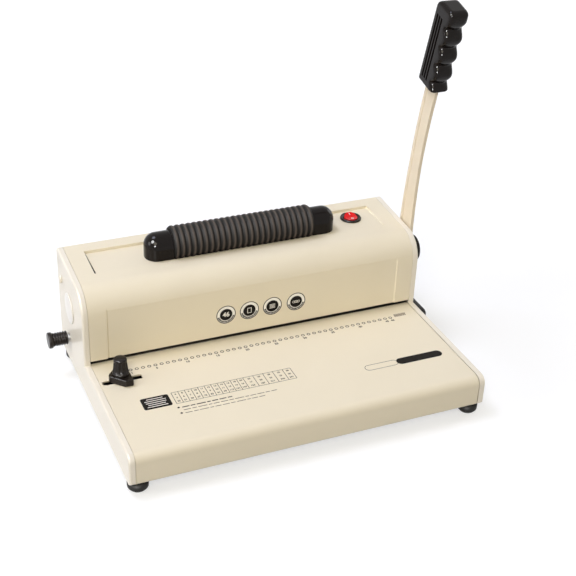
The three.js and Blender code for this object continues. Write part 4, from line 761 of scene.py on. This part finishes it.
# Lever: a bent flat steel bar on the right, painted like the body, with a rolled line along its inner
# face. It sits on the shaft behind a spacer, under a knurled cap, and ends in a moulded grip.
LEVER_INNER = 184.275
LEVER_OUTER = LEVER_INNER + 3.5
LEVER_BEND_RADIUS = 780
LEVER_HEIGHT = 201
LEVER_BEND = math.asin(LEVER_HEIGHT / LEVER_BEND_RADIUS)
EYE_RADIUS = 14
SHAFT_BORE = 8.3
FOOT_HALF = 13
TOP_HALF = 9.8
TAPER_END = 0.53
TANG_HALF = 6
TANG_LENGTH = 60
LINE_EDGES = (5.2, 4.2)
LINE_DEPTH = 0.7
lever_coat = skin("lever_powder_coat", (0.78, 0.68, 0.52), 0.4, 0.0011, 0.12, 0.05, specular=0.3)


def on_lever(bend, aside, along=0):
    """A place beside the bar's middle line, at an angle of its bend, moved along from there."""
    sine, cosine = math.sin(bend), math.cos(bend)
    y = LEVER_BEND_RADIUS * (cosine - 1) + aside * cosine - along * sine
    z = LEVER_BEND_RADIUS * sine + aside * sine + along * cosine
    return (SHAFT_AXIS[0] + y, SHAFT_AXIS[1] + z)


def half_width(share):
    return FOOT_HALF + (TOP_HALF - FOOT_HALF) * min(1, share / TAPER_END)


def bar_edge(side, steps=40):
    """One edge of the bar, from above its eye up to the end of the tang in the grip."""
    shares = [(i + 2) / (steps + 2) for i in range(steps)]
    tang = [on_lever(LEVER_BEND, side * TANG_HALF), on_lever(LEVER_BEND, side * TANG_HALF, TANG_LENGTH)]
    return [on_lever(LEVER_BEND * s, side * half_width(s)) for s in shares] + tang


bar_outline = [*arc(SHAFT_AXIS, EYE_RADIUS, 180, 360, 32), *bar_edge(1), *reversed(bar_edge(-1))]
line_steps = [0.05 + 0.95 * i / 40 for i in range(41)]
line_cut = [on_lever(LEVER_BEND * s, half_width(s) - LINE_EDGES[0]) for s in line_steps]
line_cut += [on_lever(LEVER_BEND * s, half_width(s) - LINE_EDGES[1]) for s in reversed(line_steps)]
eye = rod("x", SHAFT_AXIS, SHAFT_BORE, (LEVER_INNER - 1, LEVER_OUTER + 1), 48)
rolled_line = prism("x", line_cut, (LEVER_INNER - 1, LEVER_INNER + LINE_DEPTH))
bar_mesh = combine(prism("x", bar_outline, (LEVER_INNER, LEVER_OUTER)), [eye, rolled_line])
bar = keep("lever_bar", bar_mesh, "lever", lever_coat, ["lever_arm"])
round_edges(bar, 0.45)

cap_low, cap_high = LEVER_OUTER + 0.3, LEVER_OUTER + 11.7
CAP_RADIUS = 15
CAP_FLUTES = 32
CAP_STEPS = 6
knurl = []
for place, radius, depth in (
    (cap_low, CAP_RADIUS - 0.5, 0), (cap_low + 0.5, CAP_RADIUS, 0.2), (cap_low + 1, CAP_RADIUS, 0.7),
    (cap_high - 2, CAP_RADIUS, 0.7), (cap_high - 1.2, CAP_RADIUS - 0.4, 0.3),
    (cap_high - 0.5, CAP_RADIUS - 0.9, 0), (cap_high, CAP_RADIUS - 1.8, 0),
):
    points = []
    for i in range(CAP_FLUTES * CAP_STEPS):
        reach = radius - depth * (i % CAP_STEPS in (0, 1, 2))
        t = 2 * math.pi * i / (CAP_FLUTES * CAP_STEPS)
        points.append((SHAFT_AXIS[0] + reach * math.cos(t), SHAFT_AXIS[1] + reach * math.sin(t)))
    knurl.append((place, points))
cap_bore = rod("x", SHAFT_AXIS, SHAFT_BORE, (cap_low - 1, LEVER_OUTER + 6.3), 48)
cap_dish = rod("x", SHAFT_AXIS, 6.5, (cap_high - 0.8, cap_high + 1), 48)
cap_mesh = combine(loft("x", knurl), [cap_bore, cap_dish])
keep("knurled_cap", cap_mesh, "lever", satin_black, ["lever_cap"], smooth=False)

# Grip: a glossy black moulding with round finger ridges in front and scoops between them at its
# corners. Three grooves run along each flat side, and its back and top are rounded.
GRIP_START = -1.5
GRIP_LENGTH = 88
GRIP_HALF = 15
GRIP_MIDDLE = (LEVER_INNER + LEVER_OUTER) / 2
GRIP_THICK = 10.3
GRIP_FLAT_END = -6
GRIP_BACK_CORNER = 3
GRIP_LOW_RUN = 4
GRIP_TOP_RUN = 8
GRIP_FOOT_ROUNDING = 1.5
SQUARENESS = 4.4
SCOOP_SOFTNESS = 2.8
NOTCHES = 4
NOTCH_PITCH = 20.2
NOTCH_DEPTH = 3.6
FIRST_NOTCH = 7.5
FRONT_STEPS = 28
GROOVE_PLACES = (-0.4, 3.8, 8)
GROOVE_HALF = 1.25
GROOVE_ENDS = (5, 75)
GROOVE_DEPTH = 1.2
TANG_ROOM = 0.3


def eased(reach, distance, radius):
    """A reach that is rounded off over a radius towards an end at a distance."""
    short = max(0, radius - distance)
    return reach - radius + math.sqrt(max(0, radius ** 2 - short ** 2))


def grip_section(along):
    """The grip's outline across at a height, as places [x, aside]."""
    from_top, from_bottom = GRIP_LENGTH - along, along - GRIP_START
    share = (along - FIRST_NOTCH) / NOTCH_PITCH
    beside = abs(share - round(share)) * 2 if -0.5 < share < NOTCHES - 0.5 else 1
    notch = NOTCH_DEPTH * (1 - beside) ** 1.7
    scoop = 0.5 + 0.5 * math.cos(math.pi * beside)
    half = eased(eased(GRIP_THICK, from_top, 4), from_bottom, GRIP_FOOT_ROUNDING)
    back = eased(eased(GRIP_HALF, from_top, 8), from_bottom, GRIP_FOOT_ROUNDING)
    front = eased(eased(GRIP_HALF - notch, from_top, 6.5), from_bottom, GRIP_FOOT_ROUNDING)
    power = 2 / (SQUARENESS - SCOOP_SOFTNESS * scoop)
    line = []
    for i in range(FRONT_STEPS + 1):
        t = math.pi * i / FRONT_STEPS
        x = math.copysign(abs(math.cos(t)) ** power, math.cos(t)) * half
        line.append((-x, GRIP_FLAT_END - (front + GRIP_FLAT_END) * abs(math.sin(t)) ** power))
    corner = min(GRIP_BACK_CORNER, half, back)
    line += arc((half - corner, back - corner), corner, 0, 90, 5)
    return line + arc((corner - half, back - corner), corner, 90, 180, 5)


low_end, top_end = GRIP_START + GRIP_LOW_RUN, GRIP_LENGTH - GRIP_TOP_RUN
heights = [GRIP_START + GRIP_LOW_RUN * (1 - math.cos(math.pi / 2 * i / 6)) for i in range(7)]
heights += [low_end + (top_end - low_end) * i / 90 for i in range(1, 91)]
heights += [GRIP_LENGTH - GRIP_TOP_RUN * (1 - math.sin(math.pi / 2 * i / 9)) for i in range(1, 10)]
points = []
for height in heights:
    section = grip_section(height)
    points += [(GRIP_MIDDLE + x, *on_lever(LEVER_BEND, aside, height)) for x, aside in section]
faces = end_faces(points, len(section)) + wall_faces(points, len(section))


def grip_slot(aside, half, low, high, span):
    """A straight cut along the grip, between two heights, as deep as its span."""
    corners = [(aside - half, low), (aside + half, low), (aside + half, high), (aside - half, high)]
    return prism("x", [on_lever(LEVER_BEND, a, b) for a, b in corners], span)


tang_span = (LEVER_INNER - TANG_ROOM, LEVER_OUTER + TANG_ROOM)
cuts = [grip_slot(0, TANG_HALF + TANG_ROOM, GRIP_START - 1, TANG_LENGTH + TANG_ROOM, tang_span)]
for side in (-1, 1):
    face = GRIP_MIDDLE + side * GRIP_THICK
    groove_span = sorted((face - side * GROOVE_DEPTH, face + side))
    cuts += [grip_slot(aside, GROOVE_HALF, *GROOVE_ENDS, groove_span) for aside in GROOVE_PLACES]
grip_mesh = combine(weld(points, faces, "finger_grip"), cuts)
grip = keep("finger_grip", grip_mesh, "lever", gloss_black, ["lever_grip"])
round_edges(grip, 0.3, angle=50)

# Side guide: a black block that the sheets' left edge stops against. Its bolt passes through the slot
# to a nut plate below, and a tall fluted knob clamps it.
GUIDE_BLOCK_TOP = BASE_TOP + 7.5
GUIDE_BORE = 2.7
guide_outline = [(-11.5, -1.3), (1, -13.8), (9, -13.8), (9, 12), (-3.5, 12), (-11.5, 2.5)]
guide_outline = [(GUIDE[0] + a, GUIDE[1] + b) for a, b in guide_outline]
block_mesh = combine(
    prism("z", guide_outline, (BASE_TOP + 0.3, GUIDE_BLOCK_TOP)),
    [rod("z", GUIDE, GUIDE_BORE, (BASE_TOP - 1, GUIDE_BLOCK_TOP + 1))],
)
guide_block = keep(
    "guide_block", block_mesh, "side_guide", satin_black, ["side_guide_block"]
)
round_edges(guide_block, 0.9, angle=25)

KNOB_LOW = BASE_TOP + 7.8
FLUTES = 12


def fluted(centre, radius, depth, count, steps=8):
    """A circle with round flutes, and narrow flat ribs between them."""
    line = []
    for i in range(count * steps):
        t = 2 * math.pi * i / (count * steps)
        reach = radius - depth * abs(math.sin(count * t / 2)) ** 0.7
        line.append((centre[0] + reach * math.cos(t), centre[1] + reach * math.sin(t)))
    return line


knob_stations = [
    (0, 7.9, 0), (0.3, 8.1, 0), (2, 8.1, 0), (2.6, 7.9, 0.2), (3.4, 7.6, 1.1), (8.5, 7.1, 1.1),
    (13.8, 6.6, 1.1), (15.4, 6.5, 0.6), (16, 6.4, 0), (17, 6.2, 0), (17.6, 5.8, 0), (17.9, 5.2, 0),
]
knob_mesh = combine(
    loft("z", [(KNOB_LOW + h, fluted(GUIDE, r, d, FLUTES)) for h, r, d in knob_stations]),
    [rod("z", GUIDE, GUIDE_BORE, (KNOB_LOW - 1, KNOB_LOW + 10.3))],
)
keep("guide_knob_fluted", knob_mesh, "guide_knob", satin_black, ["side_guide_knob"])

# Margin knob: a ribbed black moulding pushed on the end of the shaft whose cams shift the back stop,
# which sets the distance of the holes from the sheets' edge.
knob_inner = -(BODY_HALF + 2)
knob_outer = knob_inner - 20
bore_end = knob_inner - 10.3
margin_profile = [
    (0, knob_outer), (6.8, knob_outer), *arc((7.3, knob_outer + 1.1), 1.1, -90, 0, 6),
    (8.4, knob_outer + 3.2), (7.9, knob_outer + 4.2),
    *bands(knob_outer + 4.5, knob_inner, 6, 7.2, 1.7, 0.7),
    (3.3, knob_inner), (3.3, bore_end), (0, bore_end),
]
keep(
    "ribbed_margin_knob", lathe("x", margin_profile, MARGIN_AXIS, 48), "margin_setting", satin_black,
    ["margin_knob"],
)

# Waste tray pull: the moulded black front of the chip tray, with a hollow for the fingers. It shows at
# the right end of the base and slides out with the tray.
PULL_CORNER = 7
PULL_ROUNDING = 4.8
low, high = (((corner - origin) / MM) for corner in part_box("tray_pull"))
shoulder = high.z - PULL_CORNER
pull_outline = [
    (high.y, low.z), *arc((high.y - PULL_CORNER, shoulder), PULL_CORNER, 0, 90, 12),
    *arc((low.y + PULL_CORNER, shoulder), PULL_CORNER, 90, 180, 12), (low.y, low.z),
]
finger_hollow = [
    (low.y + 16, low.z + 5), (high.y - 16, low.z + 5), (high.y - 16, low.z + 13), (low.y + 16, low.z + 13)
]
pull_mesh = combine(
    prism("x", pull_outline, (low.x, high.x)), [prism("x", finger_hollow, (high.x - 3, high.x + 1))]
)


def pull_edges(x, y, z):
    """Wide rounding round the outer face, little where the pull meets the cover and in its hollow."""
    on_outline = z > low.z + 0.5 and (min(abs(y - low.y), abs(y - high.y), abs(z - high.z)) < 3)
    return 1.0 if abs(x - high.x) < 0.1 and on_outline else 0.1


pull = keep("tray_front", pull_mesh, "tray", satin_black, ["tray_pull"])
round_edges(pull, PULL_ROUNDING, segments=6, heavy=pull_edges)

# Return springs: two wound steel springs between ears on the punch bar and tabs on the frames. The
# real ones stretch as the cams press the punch down. Here they only close up towards their tabs.
SPRING_REACH = 151.375
SPRING_SETBACK = 52.2
SPRING_LOW = 75.5
SPRING_HIGH = 101.5
WIRE = 0.6
SPRING_RADIUS = 3.4
spring_steel = skin("spring_steel", (0.55, 0.56, 0.57), 0.28, 0.0005, 0.1, 0.3, metallic=1.0)


def wound_wire(x, y, low, high, turns=7.5, steps=28, sides=10):
    """One unbroken coiled wire whose end turns lie flat."""
    points = []
    count = int(turns * steps)
    for i in range(count + 1):
        share = i / count
        climb = min(1, max(0, (share * turns - 0.75) / (turns - 1.5)))
        height = low + WIRE + (high - low - 2 * WIRE) * climb
        t = 2 * math.pi * share * turns
        middle = Vector((x + SPRING_RADIUS * math.cos(t), y + SPRING_RADIUS * math.sin(t), height))
        outward = Vector((math.cos(t), math.sin(t), 0))
        for k in range(sides):
            a = 2 * math.pi * k / sides
            points.append(middle + outward * WIRE * math.cos(a) + Vector((0, 0, WIRE * math.sin(a))))
    return weld(points, wall_faces(points, sides) + end_faces(points, sides), "return_spring")


for side, label in ((-1, "left"), (1, "right")):
    mesh = wound_wire(side * SPRING_REACH, SPRING_SETBACK, SPRING_LOW, SPRING_HIGH)
    spring = keep(
        label + "_wound_spring", mesh, "machine", spring_steel, [label + "_return_spring"]
    )
    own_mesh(spring)

# Drive belt: a flat loop of black rubber that the motor's pulley drives. It runs up through the hole
# in the roof to the pulley on the roller's shaft.
MOTOR_AXIS = (63, 84)
ROLLER_PULLEY = 5.5
MOTOR_PULLEY = 4
belt_low, belt_high = (((corner - origin) / MM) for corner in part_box("drive_belt"))
belt_rubber = skin("belt_rubber", (0.02, 0.019, 0.018), 0.6, 0.0012, 0.3, 0.3)


def belt_line(gap):
    """A loop round both pulleys, with a gap to each."""
    big, small = ROLLER_PULLEY + gap, MOTOR_PULLEY + gap
    back, up = MOTOR_AXIS[0] - ROLLER_AXIS[0], MOTOR_AXIS[1] - ROLLER_AXIS[1]
    heading = math.degrees(math.atan2(up, back))
    lean = math.degrees(math.acos((big - small) / math.hypot(back, up)))
    upper = arc(ROLLER_AXIS, big, heading + lean, heading + 360 - lean, 36)
    return upper + arc(MOTOR_AXIS, small, heading - lean, heading + lean, 30)


belt_stations = (
    (belt_low.x, 0.3), (belt_low.x, 2.1), (belt_low.x + 0.3, 2.3), (belt_high.x - 0.3, 2.3),
    (belt_high.x, 2.1), (belt_high.x, 0.3), (belt_low.x, 0.3),
)
belt_mesh = loft("x", [(place, belt_line(gap)) for place, gap in belt_stations], closed=False)
keep("flat_belt", belt_mesh, "machine", belt_rubber, ["drive_belt"])

# Inner works and metal parts keep their own shapes and get their finishes: drawn and ground steel with
# fine brush lines, oiled dark steel, sintered bronze, zinc plate, black mouldings and the green board.
# The blackened die plate and pin guide plate are dark partly as painted shade inside the throat. Two dark
# strips of steel are painted shade, one on the base under the punch and one in the roof's seam.
brush_lines, lines_in, lines_out = new_group(
    "brush_lines", [("Size", NUMBER, 0.0004)], [("Lines", NUMBER)]
)
place = node(brush_lines, "ShaderNodeTexCoord").outputs["Object"]
stretch = node(brush_lines, "ShaderNodeMapping", Vector=place, Scale=(0.05, 1, 1))
fine = maths(brush_lines, "DIVIDE", 1.0, lines_in["Size"])
streaks = node(brush_lines, "ShaderNodeTexNoise", Vector=stretch.outputs[0], Scale=fine, Detail=3.0)
brush_lines.links.new(streaks.outputs[0], lines_out["Lines"])
GLOSS_SWING = 0.12


def metal(name, colour, roughness, line_size=0.0004):
    """Rolled or ground metal: brush lines along the machine, and slow changes of tone."""
    finish = bpy.data.materials.new(name)
    tree = empty_tree(finish)
    lines = node(tree, "ShaderNodeGroup", {"node_tree": brush_lines}, Size=line_size).outputs[0]
    texture = node(tree, "ShaderNodeGroup", {"node_tree": skin_grain}, Size=0.001, Patch_Size=0.03).outputs
    gloss = node(
        tree, "ShaderNodeMapRange", Value=lines,
        To_Min=roughness - GLOSS_SWING, To_Max=roughness + GLOSS_SWING,
    )
    relief = node(tree, "ShaderNodeBump", Strength=0.15, Distance=0.0001, Height=lines)
    surface(
        tree, (*colour, 1), texture["Patches"], 0.25,
        Roughness=gloss.outputs[0], Metallic=1.0, Normal=relief.outputs[0],
    )
    return finish


ground_steel = metal("ground_steel", (0.56, 0.57, 0.58), 0.32)
oiled_steel = metal("oiled_steel", (0.23, 0.23, 0.235), 0.42)
sintered_bronze = metal("sintered_bronze", (0.50, 0.31, 0.13), 0.4)
blackened_steel_and_painted_shade = metal("blackened_steel_and_painted_shade", (0.035, 0.03, 0.025), 0.5)
# Painted shade: a dark strip on the base in the throat under the punch, where the gap is in shade.
shade_strip = block((-COVER_HALF, COVER_HALF), (SHADE_STRIP_FRONT, BASE_REAR), (BASE_TOP - SHADE_STRIP_DEPTH, BASE_TOP))
keep("throat_shade_strip", shade_strip, "machine", blackened_steel_and_painted_shade, ["base_cover"])
# Painted shade: a dark strip in the roof's seam, where the gap round the recess is in shade.
shade_strip = block(seam, (PANEL_FRONT + 0.5, PANEL_REAR), (PANEL_FLOOR - SEAM_DEPTH, PANEL_FLOOR - 0.4))
keep("recess_gap_shade_strip", shade_strip, "machine", blackened_steel_and_painted_shade, ["tower_cover"])
zinc_plate = metal("zinc_plate", (0.42, 0.43, 0.44), 0.38, 0.0008)
lacquered_board = skin("lacquered_board", (0.02, 0.13, 0.05), 0.3, 0.0012, 0.2, 0.3)
chip_tray = skin("chip_tray_moulding", (0.03, 0.029, 0.029), 0.45, 0.001, 0.2, 0.3)
finishes = {
    ground_steel: [
        "main_shaft", "lever_spacer", "back_stop", "margin_shaft", "side_guide_nut_plate",
        "side_guide_bolt", "roller_shaft", "roller_pulley", "motor_pulley", "motor_shaft", "motor_bracket",
    ],
    oiled_steel: ["left_frame", "right_frame", "punch_bar", "left_cam", "right_cam"],
    blackened_steel_and_painted_shade: ["die_plate", "pin_guide_plate"],
    sintered_bronze: [
        "left_bearing", "right_bearing", "left_margin_cam", "right_margin_cam",
        "left_roller_bush", "right_roller_bush",
    ],
    zinc_plate: ["bottom_plate", "motor"],
    cream_coat: ["rear_cover"],
    cream_moulding: [
        "left_cover_screw_low", "left_cover_screw_high", "right_cover_screw_low", "right_cover_screw_high",
    ],
    chip_tray: ["waste_tray", "roller_core"],
    satin_black: ["power_inlet"],
    lacquered_board: ["control_board"],
}
for finish, names in finishes.items():
    for name in names:
        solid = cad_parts[name]
        if not solid.data.materials:
            solid.data.materials.append(finish)
        for holder in solid.material_slots:
            holder.material = finish

# Printed marks: thin black ink on the paper table, with a circle for each hole of the row and plain
# numbers, a table of sizes, and a bare bar, and four round badges on the tower's face.
ink = skin("black_ink", (0.008, 0.0065, 0.005), 0.6, 0.0006, 0.05, 0.6, specular=0.1)
brown_ink = skin("brown_ink", (0.13, 0.1, 0.07), 0.6, 0.0006, 0.05, 0.5, specular=0.1)
pale_ink = skin("pale_ink", (0.84, 0.8, 0.72), 0.5, 0.0006, 0.05, 0.1)
badge_paper = skin("badge_paper", (0.9, 0.87, 0.8), 0.45, 0.0006, 0.03, 0.05)
INK = 0.06
BOLDNESS = 0.025
FIRST_LAYER = 1
SECOND_LAYER = 2.2
THIRD_LAYER = 3.4


def rounded(x, y, radius, steps=6):
    """The outline of a bar with round corners."""
    left, right, low, high = x[0] + radius, x[1] - radius, y[0] + radius, y[1] - radius
    corners = ((right, high, 0), (left, high, 90), (left, low, 180), (right, low, 270))
    return [p for a, b, turn in corners for p in arc((a, b), radius, turn, turn + 90, steps)]


class Sheet:
    """Flat marks of one ink that lie on one surface, as thin solids."""

    def __init__(self, place):
        self.place = place
        self.points, self.faces = [], []

    def ribbon(self, outer, inner):
        """The band between two loops with as many points as each other."""
        start, count = len(self.points), len(outer)
        self.points += [*outer, *inner]
        for i in range(count):
            j = (i + 1) % count
            self.faces.append((start + i, start + j, start + count + j, start + count + i))

    def border(self, x, y, width, radii, steps):
        """A line round a bar with round corners. The radii are those of its outer and inner edge."""
        inner = rounded((x[0] + width, x[1] - width), (y[0] + width, y[1] - width), radii[1], steps)
        self.ribbon(rounded(x, y, radii[0], steps), inner)

    def patch(self, outline):
        start = len(self.points)
        self.points += outline
        self.faces.append(tuple(range(start, len(self.points))))

    def bar(self, x, y):
        self.patch([(x[0], y[0]), (x[1], y[0]), (x[1], y[1]), (x[0], y[1])])

    def number(self, text, x, y, size):
        """A plain number, centred on a place."""
        curve = bpy.data.curves.new("number", "FONT")
        curve.body, curve.size, curve.offset = str(text), size, size * BOLDNESS
        curve.align_x, curve.align_y = "CENTER", "CENTER"
        holder = bpy.data.objects.new("number", curve)
        bpy.context.scene.collection.objects.link(holder)
        bpy.context.view_layer.update()
        flat = bpy.data.meshes.new_from_object(holder.evaluated_get(bpy.context.evaluated_depsgraph_get()))
        start = len(self.points)
        self.points += [(x + v.co.x, y + v.co.y) for v in flat.vertices]
        self.faces += [tuple(start + v for v in face.vertices) for face in flat.polygons]
        bpy.data.objects.remove(holder)
        bpy.data.curves.remove(curve)
        bpy.data.meshes.remove(flat)

    def print(self, name, finish, slot):
        mesh = bpy.data.meshes.new(name)
        mesh.from_pydata([at(*self.place(a, b)) for a, b in self.points], [], self.faces)
        edit = bmesh.new()
        edit.from_mesh(mesh)
        bmesh.ops.remove_doubles(edit, verts=edit.verts, dist=0.001 * MM)
        edit.to_mesh(mesh)
        edit.free()
        piece = keep(name, mesh, "machine", finish, smooth=False)
        body = piece.modifiers.new("ink_layer", "SOLIDIFY")
        body.thickness = INK * MM
        body.offset = 0
        return piece


def on_base(layer):
    """Gives a layer's marks their places on the base's top."""
    return lambda x, y: (x, y, BASE_TOP + layer * INK)


def on_face(layer):
    """Gives a layer's marks their places on the panel of the tower's face."""
    return lambda x, z: (x, FACE_PANEL_DEPTH - layer * INK, z)


HOLES = 46
PITCH = 6.35
SCALE_SHIFT = 0.9
HOLE_ROW = -20.2
NUMBER_ROW = -25.6
scale = Sheet(on_base(FIRST_LAYER))
for i in range(1, HOLES + 1):
    x = (i - (HOLES + 1) / 2) * PITCH + SCALE_SHIFT
    scale.ribbon(circle((x, HOLE_ROW), 1.95, 20), circle((x, HOLE_ROW), 1.25, 20))
    if i % 5 == 0 or i in (1, HOLES):
        scale.number(i, x, NUMBER_ROW, 4.1)
scale.print("hole_scale", ink, "black_plastic")

hatch = Sheet(on_base(FIRST_LAYER))
for i in range(11):
    x = 149 + i * 1.25
    hatch.patch([(x, -20.6), (x + 0.75, -20.6), (x + 1.5, -15.6), (x + 0.75, -15.6)])
hatch.print("end_hatching", brown_ink, "black_plastic")

CHART_LEFT = -117
CHART_HEIGHT = (-88.5, -70.1)
UPRIGHT_HALF = 0.24
COLUMNS = [6.65] * 11 + [10.4] * 4 + [8.25]
COIL_SIZES = (6, 8, 9, 10, 11, 12, 13, 14, 16, 18, 20, 22, 25, 28, 32, 38)
RULES_LEFT = -114
RULE_LENGTHS = (7, 4.5, 9, 3.5, 6)
RULE_GAP = 1.4
SHORTEST_RULE = 3
chart = Sheet(on_base(FIRST_LAYER))
chart.patch(rounded((-148.2, -120.7), (-88.7, -70.5), 2))
edge = CHART_LEFT
for width, size in zip(COLUMNS, COIL_SIZES):
    chart.bar((edge - UPRIGHT_HALF, edge + UPRIGHT_HALF), CHART_HEIGHT)
    for number, y in ((size, -73.6), (round(size * 0.79), -79.3), (size * 8 - 13, -85)):
        chart.number(number, edge + width / 2, y, 3)
    edge += width
chart.bar((edge - UPRIGHT_HALF, edge + UPRIGHT_HALF), CHART_HEIGHT)
for y in (-70.2, -88.4):
    chart.bar((CHART_LEFT, edge), (y - 0.2, y + 0.2))
for y in (-94.8, -103.8):
    chart.patch(circle((-117.4, y), 1.2, 12))
for rules_right, y, half in ((-63, -95.3, 0.6), (-20, -99.8, 0.34), (-34, -104.6, 0.34)):
    start = RULES_LEFT
    for length in RULE_LENGTHS * 3:
        if start < rules_right - SHORTEST_RULE:
            chart.bar((start, min(start + length, rules_right)), (y - half, y + half))
            start += length + RULE_GAP
chart.print("size_table", ink, "black_plastic")

LABEL_MIDDLE = -134.5
labels = Sheet(on_base(SECOND_LAYER))
for y, half in ((-73.5, 8), (-76.5, 10.5), (-79.5, 10), (-82.5, 8.5), (-85.5, 10)):
    labels.bar((LABEL_MIDDLE - half, LABEL_MIDDLE + half), (y - 0.45, y + 0.45))
labels.print("table_heading_rules", pale_ink, "cream_paint")

badge_bar = Sheet(on_base(FIRST_LAYER))
badge_bar.patch(rounded((111.3, 162.5), (-102.4, -92.1), 5.1, 8))
badge_bar.border((76, 112.5), (-101.6, -92.6), 0.45, (4.4, 4.0), 8)
badge_bar.print("bare_label_bar", ink, "black_plastic")

BADGES = (-34.9, -9.6, 15.7, 42.2)
BADGE_HEIGHT = 72.7
FIELD_RADIUS = 10.2
RING = (10.4, 9.6)
BAND = (7.5, 7.9)
DISC_RADIUS = 6.7
TICKS = 19
TICK_LENGTH = 1.4
fields, rings, signs = (Sheet(on_face(n)) for n in (FIRST_LAYER, SECOND_LAYER, THIRD_LAYER))
for x in BADGES:
    middle = (x, BADGE_HEIGHT)
    fields.patch(circle(middle, FIELD_RADIUS, 48))
    rings.ribbon(circle(middle, RING[0], 48), circle(middle, RING[1], 48))
    rings.patch(arc(middle, BAND[0], 192, 348, 24) + arc(middle, BAND[1], 348, 192, 24))
    rings.patch(circle(middle, DISC_RADIUS, 48))
    for i in range(TICKS):
        t = math.radians(198 + 8 * i)
        along, out = Vector((-math.sin(t), math.cos(t))), Vector((math.cos(t), math.sin(t)))
        foot = Vector(middle) + out * BAND[1]
        tip = foot + out * TICK_LENGTH
        half = along * (0.4 if i % 3 else 0.5)
        rings.patch([tuple(corner) for corner in (foot - half, foot + half, tip + half, tip - half)])
signs.number(HOLES, BADGES[0], BADGE_HEIGHT, 7.4)
sheet_width = (BADGES[1] - 2.3, BADGES[1] + 2.3)
sheet_height = (BADGE_HEIGHT - 3.1, BADGE_HEIGHT + 3.1)
signs.border(sheet_width, sheet_height, 0.6, (0.4, 0.2), 3)
for i in range(4):
    z = BADGE_HEIGHT - 2.1 + 1.4 * i
    signs.bar((BADGES[2] - 3, BADGES[2] + 3), (z - 0.3, z + 0.3))
    x = BADGES[3] - 2.7 + 1.8 * i
    signs.ribbon(circle((x, BADGE_HEIGHT), 1.5, 20), circle((x, BADGE_HEIGHT), 1.1, 20))
fields.print("badge_fields", badge_paper, "cream_plastic")
rings.print("badge_rings", ink, "black_plastic")
signs.print("badge_signs", pale_ink, "cream_paint")
